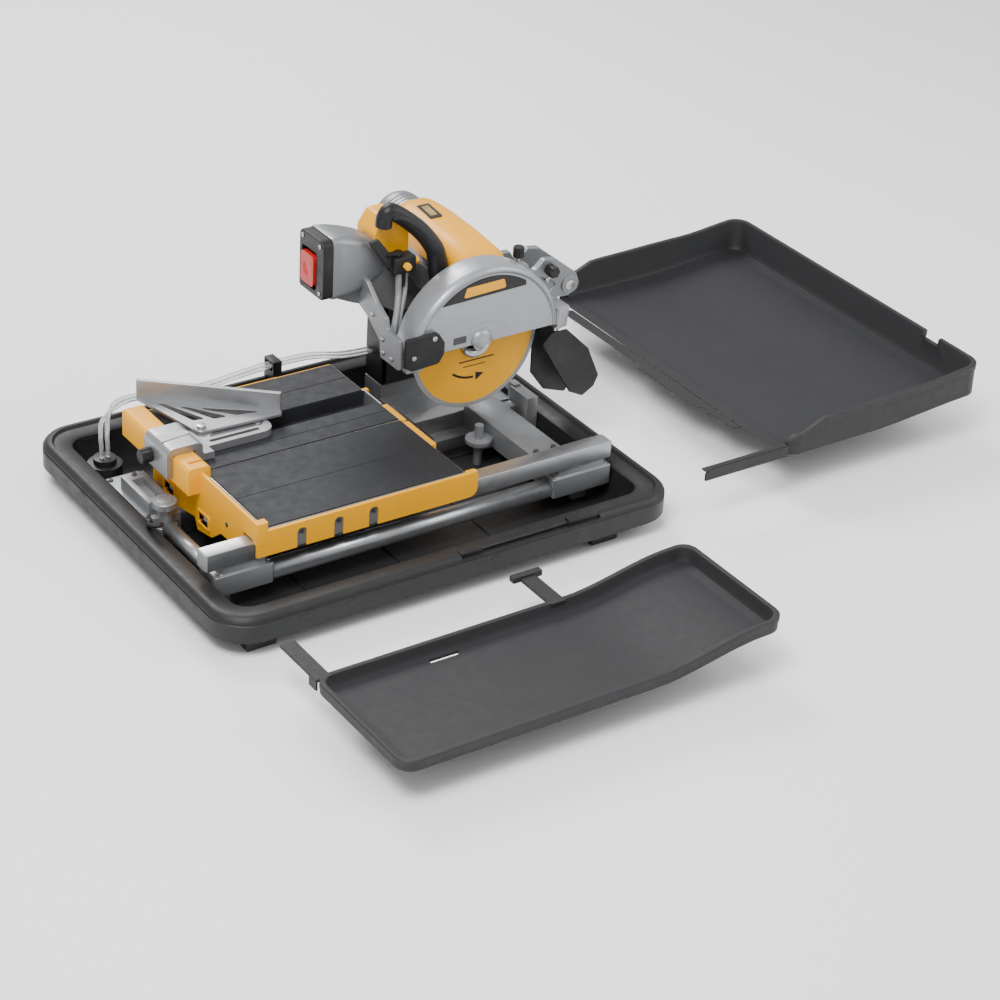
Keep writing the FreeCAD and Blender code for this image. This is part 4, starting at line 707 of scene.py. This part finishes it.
def guard():
    profile = [(0, -52), (139, -52), (141, -53.6), (143.5, -54.6), (146, -54), (149, -51.5),
        (151, -48), (152, -43), (152, -6), (150, 2), (145, 6), (30, 6), (30, 2), (143, 2),
        (148, -6), (148, -42), (145, -49), (143, -50.5), (138, -48.5), (0, -48.5)]
    shell = turned("blade_guard_shell", "Y", BLADE, profile, 160)
    carve(shell, block("below", (0, 460), (-90, 40), (60, 275)))
    stand("blade_guard", shell, "guard", 0, angle=24)
    dome = turned("arbor_cap_dome", "Y", (218, 0, 280), [(0, -62.5), (8, -62), (14, -60.4),
        (18.5, -57.4), (20.6, -54), (21, -51.8), (0, -51.8)], 64)
    carve(dome, block("below", (180, 260), (-90, 0), (240, 275)))
    add("blade_guard", dome, "guard", 0, angle=50)
    badge = prism("guard_badge", [(134, 361), (304, 366)] + arc(227, 262, 136, 56, 133, 20), "XZ",
        -53, -51.9)
    add("blade_guard", badge, "black", 0.4)
    bar = slab("guard_badge_bar", [(176, 368), (262, 371), (257, 388), (182, 386)], 4, "XZ", -53.6,
        -53)
    add("blade_guard", bar, "yellow", 0.2)
    line = prism("guard_raised_arc", arc(227, 262, 52, 35, 110, 20) + arc(227, 262, 50.8, 110, 35,
        20), "XZ", -52.6, -51.9)
    add("blade_guard", line, "guard", 0)
    note = block("guard_plain_label", (160, 186), (-52.5, -51.9), (283, 296))
    add("blade_guard", note, "dark", 0.2)
    nozzle = slab("nozzle_face", [(58, 320), (122, 321), (136, 300), (136, 279), (126, 262),
        (72, 259), (58, 268)], [6, 8, 8, 8, 8, 8, 6], "XZ", -63, -55.4)
    stand("nozzle_block", nozzle, "black", 2)
    inner = slab("nozzle_recess_panel", [(96, 312), (118, 312), (130, 297), (130, 279), (120, 268),
        (96, 268)], 6, "XZ", -62.4, -61.9)
    add("nozzle_block", inner, "soft", 0.2)
    body = slab("nozzle_body", [(60, 256), (96, 256), (96, 274), (60, 274)], 4, "XZ", -62, 20)
    add("nozzle_block", body, "silver", 1.4)
    flange = slab("nozzle_flange", [(-54, 262), (4, 262), (8, 292), (44, 318), (92, 336),
        (92, 384), (56, 384), (22, 356), (-8, 340), (-14, 322), (-54, 318)],
        [3, 6, 10, 16, 4, 4, 12, 12, 8, 6, 3], "YZ", 49, 58)
    add("nozzle_block", flange, "silver", 2.4)
    for i, (y, z) in enumerate(((-8, 276), (-4, 300), (30, 332), (-34, 276))):
        bolt("nozzle_block", f"flange_bolt_{i}", "-X", (49, y, z), 4.5, 2.5)
    bolt("nozzle_block", "nozzle_screw_top", "-Y", (114, -63, 312), 5, 2.2)
    bolt("nozzle_block", "nozzle_screw_low", "-Y", (74, -63, 284), 4.5, 2.2)
    keep("flap_bracket", "guard", 2)
    for name, outline, low in (("front_splash_flap", [(353, 234), (372, 254), (402, 255),
            (452, 206), (479, 146), (470, 126), (446, 112), (417, 127), (360, 221)], -47),
            ("rear_splash_flap", [(357, 240), (372, 250), (400, 250), (440, 196), (452, 140),
            (436, 105), (388, 122), (358, 162)], -8)):
        flap = slab(name, outline, 6, "XZ", low, low + 4)
        finish(flap, "flap", 1.2)
        settle(flap)
        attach(flap, "head")
        if name.startswith("front"):
            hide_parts("splash_flaps")
        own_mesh(flap)


# ---------------------------------------------------------------- head

def head():
    for name, material, edge in (("motor_housing", "silver", 1), ("drive_belt", "soft", 0.3),
            ("field_coil", "copper", 0.5), ("armature", "dark", 0.5), ("head_yoke", "silver", 2.5),
            ("yoke_pins", "steel", 0.8), ("bevel_lock_knob", "black", 1.5)):
        keep(name, material, edge)
    cap = turned("motor_end_bell", "Y", (258, 244, 365), [(42, 0), (48, 0), (48, 8), (46, 8.6),
        (46, 10.4), (48, 11), (48, 18), (46, 18.6), (46, 20.4), (48, 21), (48, 28), (46, 28.6),
        (46, 30.4), (48, 31), (48, 40), (47, 47), (44, 54), (39, 60), (32, 65), (22, 67.6),
        (6.2, 68), (6.2, 57), (30, 56), (40, 44), (42, 38)], 128)
    stand("motor_end_cap", cap, "silver", 0, angle=30)
    vents = []
    for k in range(-4, 5):
        width = math.sqrt(30 ** 2 - (k * 6) ** 2)
        vents.append(block("vent", (258 - width, 258 + width), (309, 311.9),
            (365 + k * 6 - 1, 365 + k * 6 + 1)))
    add("motor_end_cap", join("motor_vent_bars", vents), "dark", 0)
    loops = []
    for y, half, top in ((10, 42, 398), (13, 46, 404), (24, 49, 409), (70, 49, 414),
            (110, 49, 417), (170, 48, 420), (215, 46, 420), (236, 44, 418), (243, 41, 414)):
        side = [(-half, 362), (-half, top - 24), (-half + 4, top - 14), (-half + 13, top - 5),
            (-half + 25, top), (0, top), (half - 25, top), (half - 13, top - 5),
            (half - 4, top - 14), (half, top - 24), (half, 362), (half - 3, 362),
            (half - 3, top - 25), (half - 7, top - 16), (half - 15, top - 8), (half - 26, top - 3),
            (0, top - 3), (-half + 26, top - 3), (-half + 15, top - 8), (-half + 7, top - 16),
            (-half + 3, top - 25), (-half + 3, 362)]
        loops.append([(258 + x, y, z) for x, z in side])
    cover = skin("motor_cover_shell", loops)
    stand("motor_cover", cover, "yellow", 0.6, angle=40)
    case = slab("gearbox_case", [(185, 250), (203, 225), (251, 225), (271, 252), (303, 335),
        (303, 372), (296, 386), (220, 386), (213, 372), (213, 359)],
        [8, 14, 14, 8, 10, 4, 6, 6, 4, 6], "XZ", 8, 62)
    carve(case, disc("hole", "Y", (227, 0, 262), 15, 70, 0))
    stand("gearbox_housing", case, "silver", 2.5)
    ear = [(288, 300), (440, 288), (458, 296), (462, 310), (454, 330), (408, 366), (384, 370),
        (360, 348), (346, 372), (316, 372), (300, 352)]
    for name, low in (("near", 8), ("far", 60)):
        plate = slab(f"head_ear_{name}", ear, [4, 16, 8, 8, 10, 8, 8, 12, 8, 8, 4], "XZ", low,
            low + 12)
        if name == "near":
            carve(plate, slab("pocket", [(316, 310), (400, 304), (412, 318), (380, 336),
                (330, 344)], 6, "XZ", 6, 11))
        add("gearbox_housing", plate, "silver", 1.8)
    boss = turned("head_pivot_boss", "Y", (440, 0, 310), [(9.2, 5), (16, 5), (17, 6), (17, 8.2),
        (9.2, 8.2)], 64)
    add("gearbox_housing", boss, "silver", 0, angle=30)
    plaque = slab("cover_plaque", [(236, 150), (262, 150), (268, 206), (242, 206)], 4, "XY", 418.6,
        420.9)
    add("motor_cover", plaque, "black", 0.3)
    plaque_bar = slab("cover_plaque_bar", [(242, 158), (256, 158), (261, 198), (247, 198)], 3,
        "XY", 419.9, 421.4)
    add("motor_cover", plaque_bar, "brass", 0)
    limb = slab("head_limb_casting", [(-6, 355), (40, 334), (90, 318), (120, 300), (204, 294),
        (295, 294), (295, 312), (214, 318), (206, 352), (150, 398), (72, 400), (-6, 400)],
        [8, 20, 20, 20, 10, 6, 6, 20, 20, 30, 10, 4], "XZ", 76, 160)
    carve(limb, disc("room", "Y", (258, 60, 365), 49, 120, 0))
    stand("switch_housing", limb, "silver", 5, segments=4)
    loops = []
    for x, y0, y1, z0, z1, r in ((-12, 62, 138, 356, 467, 9), (-8, 60, 140, 355, 468, 12),
            (10, 60, 140, 353, 467, 16), (34, 62, 138, 352, 462, 20), (56, 66, 134, 356, 455, 20),
            (74, 70, 130, 362, 446, 20), (92, 74, 128, 368, 436, 18)):
        loop = ring((y1 - y0) / 2, (z1 - z0) / 2, r, 0, (y0 + y1) / 2, (z0 + z1) / 2, 8)
        loops.append([(x, a, b) for a, b, _ in loop])
    body = skin("switch_housing_body", loops)
    add("switch_housing", body, "silver", 0, angle=40)
    strip = slab("housing_diagonal_strip", [(52, 452), (70, 456), (150, 352), (204, 300),
        (190, 296), (132, 344)], 4, "XZ", 52, 60)
    add("switch_housing", strip, "soft", 1.5)
    box = slab("switch_panel", [(60, 359), (140, 359), (140, 466), (60, 466)], [12, 8, 14, 18],
        "YZ", -32, -12)
    pocket = slab("pocket", [(85, 370), (131, 370), (131, 438), (85, 438)], 5, "YZ", -40, -18)
    carve(box, pocket, disc("bore", "X", (-36, 108, 403), 4.05, 30, 0))
    stand("switch_box", box, "black", 2)
    for i, (y, z) in enumerate(((72, 456), (72, 370), (128, 456))):
        bolt("switch_box", f"switch_panel_screw_{i}", "-X", (-32, y, z), 4, 1.8)
    paddle = slab("switch_paddle_face", [(87.5, 374.5), (128.5, 374.5), (128.5, 431.5),
        (87.5, 431.5)], 9, "YZ", -36, -27)
    carve(paddle, disc("finger_room", "X", (-60, 108, 403), 14, 26, 6))
    stand("switch_paddle", paddle, "red", 2)
    post = disc("switch_paddle_post", "X", (-28, 108, 403), 4, 11, 0.5, 32)
    add("switch_paddle", post, "red", 0)
    front = slab("front_cover_shell", [(78, 400.3), (78, 452), (96, 478), (128, 478), (146, 452),
        (146, 400.3)], [2, 10, 10, 10, 10, 2], "XZ", 78, 136)
    stand("front_cover", front, "yellow", 3.2, segments=4)
    grip = swept("handle_grip", [(84, 62, 474), (86, 60.5, 492), (100, 59, 498), (146, 54, 462),
        (176, 48.5, 424), (184, 46, 400), (188, 42, 368), (200, 43.5, 346)],
        lambda s: 15 + 5 * s ** 2, 0.96, 10, 32)
    stand("handle", grip, "black", 0, angle=40)
    insert = swept("handle_soft_insert", [(94, 50, 492), (112, 45.5, 489), (146, 41.6, 464),
        (172, 38.5, 430)], 5, 1.0, 10, 20)
    add("handle", insert, "soft", 0)
    knob = lobed("depth_knob_grip", "Z", (331, 14, 384), 10, 20, 10, 0.1)
    stand("depth_knob", knob, "black", 1.4)
    stem = disc("depth_knob_stem", "Z", (331, 14, 372.3), 4, 12.5, 0.4, 32)
    add("depth_knob", stem, "steel", 0)
    knob = lobed("plunge_lock_grip", "Y", (394, -12.3, 350), 11, 20, 6, 0.14)
    stand("plunge_lock_knob", knob, "black", 1.8)
    valve = block("valve_cock", (96, 139), (40, 66), (388, 418))
    stand("water_valve", valve, "black", 3)
    nuts = [disc("nut", "X", (139, 53, 403), 8, 10, 1, 6), disc("nut", "Y", (118, 30, 403), 7, 10,
        1, 6)]
    add("water_valve", join("valve_fittings", nuts), "yellow", 0.6)
    for name, path, r in (("feed_tube_front", [(110, 50, 388), (110, 48, 350), (97, 30, 326),
            (84, 16, 305), (82, 14, 276)], 5.5), ("feed_tube_back",
            [(128, 56, 388), (127, 54, 352), (112, 38, 330), (96, 22, 306), (92, 18, 276)], 4.5)):
        add("water_valve", swept(name, path, r, 1, 8, 20), "grey", 0)
    keep("valve_lever", "black", 1.2)


# ---------------------------------------------------------------- frame and pump

def rails():
    for name, material, edge in (("front_upper_rail", "rail", 1.2),
            ("front_lower_tube", "rail", 0), ("front_left_casting", "silver", 5),
            ("front_right_casting", "silver", 5), ("left_cross_tube", "rail", 0),
            ("left_rear_casting", "silver", 4), ("rear_rail", "rail", 1.2),
            ("base_casting", "silver", 3.5), ("column", "silver", 3), ("frame_bolts", "dark", 1),
            ("tray_catch", "black", 1.4), ("drain_plug", "black", 1), ("water_pump", "black", 1.5),
            ("hose_clip", "black", 1)):
        keep(name, material, edge)


def frame_details():
    caps = []
    for low in (-405, 383.5):
        caps.append(settle(soften(slab("cap", [(-219, 91), (-191, 91), (-191, 120), (-219, 120)],
            3, "YZ", low, low + 3.5), 0.9)))
    add("front_upper_rail", join("rail_end_caps", caps), "silver", 0)
    for i, z in enumerate((48, 92)):
        collar = turned(f"post_collar_{i}", "Z", (-366, -6, z), [(14.2, 0), (20, 0), (21, 1),
            (21, 11), (20, 12), (14.2, 12)], 48)
        add("left_rear_casting", collar, "silver", 0, angle=30)
    clamp = slab("post_clamp_ear", [(-390, -12), (-340, -12), (-340, 0), (-390, 0)], 4, "XY", 62,
        78)
    add("left_rear_casting", clamp, "silver", 1.6)
    for i, (x, y, z) in enumerate(((-381, 22, 60), (-335, 22, 60), (-381, 160, 60),
            (-335, 160, 60), (-356, 38, 84), (-356, 122, 84))):
        bolt("left_rear_casting", f"left_casting_bolt_{i}", "Z", (x, y, z), 4.5, 3, "dark")
    lever = swept("left_clamp_lever", [(-392, -6, 70), (-402, -20, 74), (-404, -44, 86),
        (-400, -62, 96)], 4.5, 1, 8, 16)
    add("left_rear_casting", lever, "black", 0)
    ribs = [block("rib", (x - 3, x + 3), (301.5, 307), (62, 282)) for x in (228, 257, 286)]
    add("column", join("column_back_ribs", ribs), "silver", 1.4)
    for i, (x, y) in enumerate(((314, 256), (314, 286))):
        bolt("column", f"column_foot_bolt_{i}", "Z", (x, y, 56), 6, 4, "dark")
    for i, (x, z) in enumerate(((384, 288), (376, 262))):
        bolt("flap_bracket", f"flap_screw_{i}", "-Y", (x, -47, z), 4, 2.2)
    for i, (x, z) in enumerate(((392, 330), (340, 356))):
        bolt("gearbox_housing", f"ear_bolt_{i}", "-Y", (x, 8, z), 5, 3)


def column_shade_panels():
    # Black panels on the column's front and side are painted shade for the shadowed column, not a
    # real cover.
    front = slab("column_front_painted_shade", [(206, 57), (304, 57), (304, 232), (206, 232)], 6, "XZ",
        239, 243.8)
    add("column", front, "black", 1.5)
    side = slab("column_side_painted_shade", [(239, 57), (298, 57), (298, 232), (239, 232)], 4, "YZ", 206,
        214.8)
    add("column", side, "black", 1.5)


HOSE_RADIUS = 4


def hoses():
    for index, shift in enumerate((-6, 6)):
        points = [(-352 + shift, 240, 58), (-352 + shift, 240, 80), (-350 + shift, 246, 98),
            (-330 + shift, 276, 116 + shift), (-276, 312 + shift, 116), (-190, 329 + shift, 98),
            (-110, 330 + shift, 93), (-40, 330 + shift, 99), (29, 329 + shift, 104),
            (100, 318 + shift, 108), (152, 290 + shift, 111), (214.6, 284 + shift, 110)]
        hose = swept(f"pump_hose_{index}", points, HOSE_RADIUS, 1, 10, 16)
        finish(hose, "vinyl", 0)
        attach(hose, BODY_OF["pump_hoses"])
        if index == 0:
            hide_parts("pump_hoses")


# ---------------------------------------------------------------- trays

def wave(x, stops):
    """A height that goes smoothly through (x, height) stops."""
    for (a, low), (b, high) in zip(stops, stops[1:]):
        if x <= b:
            t = max(0, min(1, (x - a) / (b - a)))
            t = t * t * (3 - 2 * t)
            return low + (high - low) * t
    return stops[-1][1]


CORNER_STEPS = 8


def tray_shell(name, centre, half, floor, top, rows, per_side):
    """A tray's skin; each row has its inset, corner radius, height stops and lift."""
    def height(stops, lift):
        return lambda x, y: wave(x, stops) + lift

    loops = [ring(half[0] - inset, half[1] - inset, radius, height(stops, lift), *centre,
        CORNER_STEPS, per_side) for inset, radius, stops, lift in rows(floor, top)]
    return tub(name, loops, CORNER_STEPS, per_side)


def rear_rows(floor, top):
    return [(30, 12, floor, 0), (8, 26, floor, 0.6), (1.5, 30, floor, 6), (1.5, 32, top, -14),
        (0, 34, top, -12), (0, 34, top, -2), (1.5, 33, top, -0.3), (6, 30, top, 0),
        (9, 28, top, -0.6), (10.5, 27, top, -4), (12, 26, floor, 14), (16, 24, floor, 6),
        (34, 12, floor, 4)]


def side_rows(floor, top):
    return [(24, 12, floor, 0), (8, 22, floor, 0.6), (1.5, 27, floor, 5), (1.5, 28, top, -12),
        (0, 29, top, -10), (0, 29, top, -2), (1.5, 28, top, -0.3), (6, 25, top, 0),
        (9, 23, top, -0.6), (10.5, 22, top, -4), (12, 21, floor, 11), (15, 19, floor, 5.5),
        (30, 10, floor, 4)]


def rear_tray():
    shell = tray_shell("rear_tray_shell", (891.5, 0), (226.5, 360),
        [(665, 76), (860, 77), (1118, 92)], [(665, 104), (693, 120), (757, 142), (965, 146),
        (1118, 158)], rear_rows, 16)
    carve(shell, block("mouth", (640, 690), (-344, 344), (81, 200)))
    carve(shell, block("notch", (1096, 1130), (-246, -205), (142, 170)))
    stand("rear_tray", shell, "tray", 0)
    arm = slab("rear_tray_arm", [(486, 84), (668, 84), (668, 104), (498, 104), (486, 98)],
        [2, 1, 1, 4, 4], "XZ", -360, -356)
    add("rear_tray", arm, "tray", 1)
    flange = block("rear_tray_arm_flange", (486, 668), (-359, -346), (101, 104))
    add("rear_tray", flange, "tray", 1)
    lip = slab("rear_tray_lip", [(668, -230), (668, 300), (646, 292), (650, 60), (639, 40),
        (639, -120), (652, -140), (652, -222)], 8, "XY", 77, 80)
    add("rear_tray", lip, "tray", 0.9)


def side_tray():
    shell = tray_shell("side_tray_shell", (-46, -670), (352, 130),
        [(-398, 58), (60, 58), (266, 86), (306, 88)], [(-398, 82), (60, 84), (266, 114),
        (306, 117)], side_rows, 20)
    carve(shell, block("drain", (-205, -152), (-572, -564), (40, 90)))
    stand("side_tray", shell, "tray", 0)
    hooks = [block("hook", (-398, -370), (-552, -441), (77, 82)), block("hook", (-398, -394),
        (-552, -530), (62, 80)), block("hook", (32, 60), (-552, -453), (77, 84)),
        block("hook", (18, 74), (-466, -453), (77.2, 88))]
    add("side_tray", join("side_tray_hooks", hooks), "tray", 1.2)


for make in (water_pan, cart, guide, blade_set, guard, head, rails, column_shade_panels, frame_details,
        hoses, rear_tray, side_tray):
    make()


# ---------------------------------------------------------------- camera, light and floor

CAMERA_TURN = (35.6, 30.35, 3.6)
CAMERA_SPOT = (-2.1268, -3.4101, 2.3647)
FOCAL_LENGTH = 96.84
FLOOR_REACH = 14
FLOOR_DROP = 0.0005
AIM = (0.2, 0, 0.15)
LAMPS = (("key", (-1.6, -1.4, 3.4), 1.6, 170), ("fill", (2.8, -1.6, 2.2), 2.2, 60),
         ("rear", (0.4, 2.8, 2.8), 1.6, 120))


def stage():
    scene = bpy.context.scene
    yaw, pitch, roll = (math.radians(a) for a in CAMERA_TURN)
    ahead = Vector((math.sin(yaw) * math.cos(pitch), math.cos(yaw) * math.cos(pitch),
        -math.sin(pitch)))
    level = Vector((math.cos(yaw), -math.sin(yaw), 0))
    over = level.cross(ahead)
    right = level * math.cos(roll) + over * math.sin(roll)
    up = over * math.cos(roll) - level * math.sin(roll)
    lens = bpy.data.cameras.new("camera")
    lens.lens = FOCAL_LENGTH
    lens.sensor_width = 36
    lens.clip_end = 60
    camera = bpy.data.objects.new("camera", lens)
    scene.collection.objects.link(camera)
    turn = Matrix((right, up, -ahead)).transposed().to_4x4()
    camera.matrix_world = Matrix.Translation(CAMERA_SPOT) @ turn
    scene.camera = camera
    floor_mesh = bpy.data.meshes.new("floor")
    low, high = -FLOOR_REACH, FLOOR_REACH
    floor_mesh.from_pydata([(low, low, 0), (high, low, 0), (high, high, 0), (low, high, 0)], [],
        [(0, 1, 2, 3)])
    floor = bpy.data.objects.new("floor", floor_mesh)
    scene.collection.objects.link(floor)
    floor.location.z = -FLOOR_DROP
    pale = bpy.data.materials.new("floor_pale")
    pale.use_nodes = True
    shader = pale.node_tree.nodes["Principled BSDF"]
    shader.inputs["Base Color"].default_value = (0.95, 0.95, 0.95, 1)
    shader.inputs["Roughness"].default_value = 0.8
    floor.data.materials.append(pale)
    world = bpy.data.worlds.new("studio")
    world.use_nodes = True
    world.node_tree.nodes["Background"].inputs["Color"].default_value = (1, 1, 1, 1)
    world.node_tree.nodes["Background"].inputs["Strength"].default_value = 0.7
    scene.world = world
    for name, spot, size, power in LAMPS:
        light = bpy.data.lights.new(name, "AREA")
        light.size = size
        light.energy = power
        lamp = bpy.data.objects.new(name, light)
        scene.collection.objects.link(lamp)
        lamp.location = spot
        lamp.rotation_euler = (Vector(AIM) - Vector(spot)).to_track_quat("-Z", "Y").to_euler()


stage()
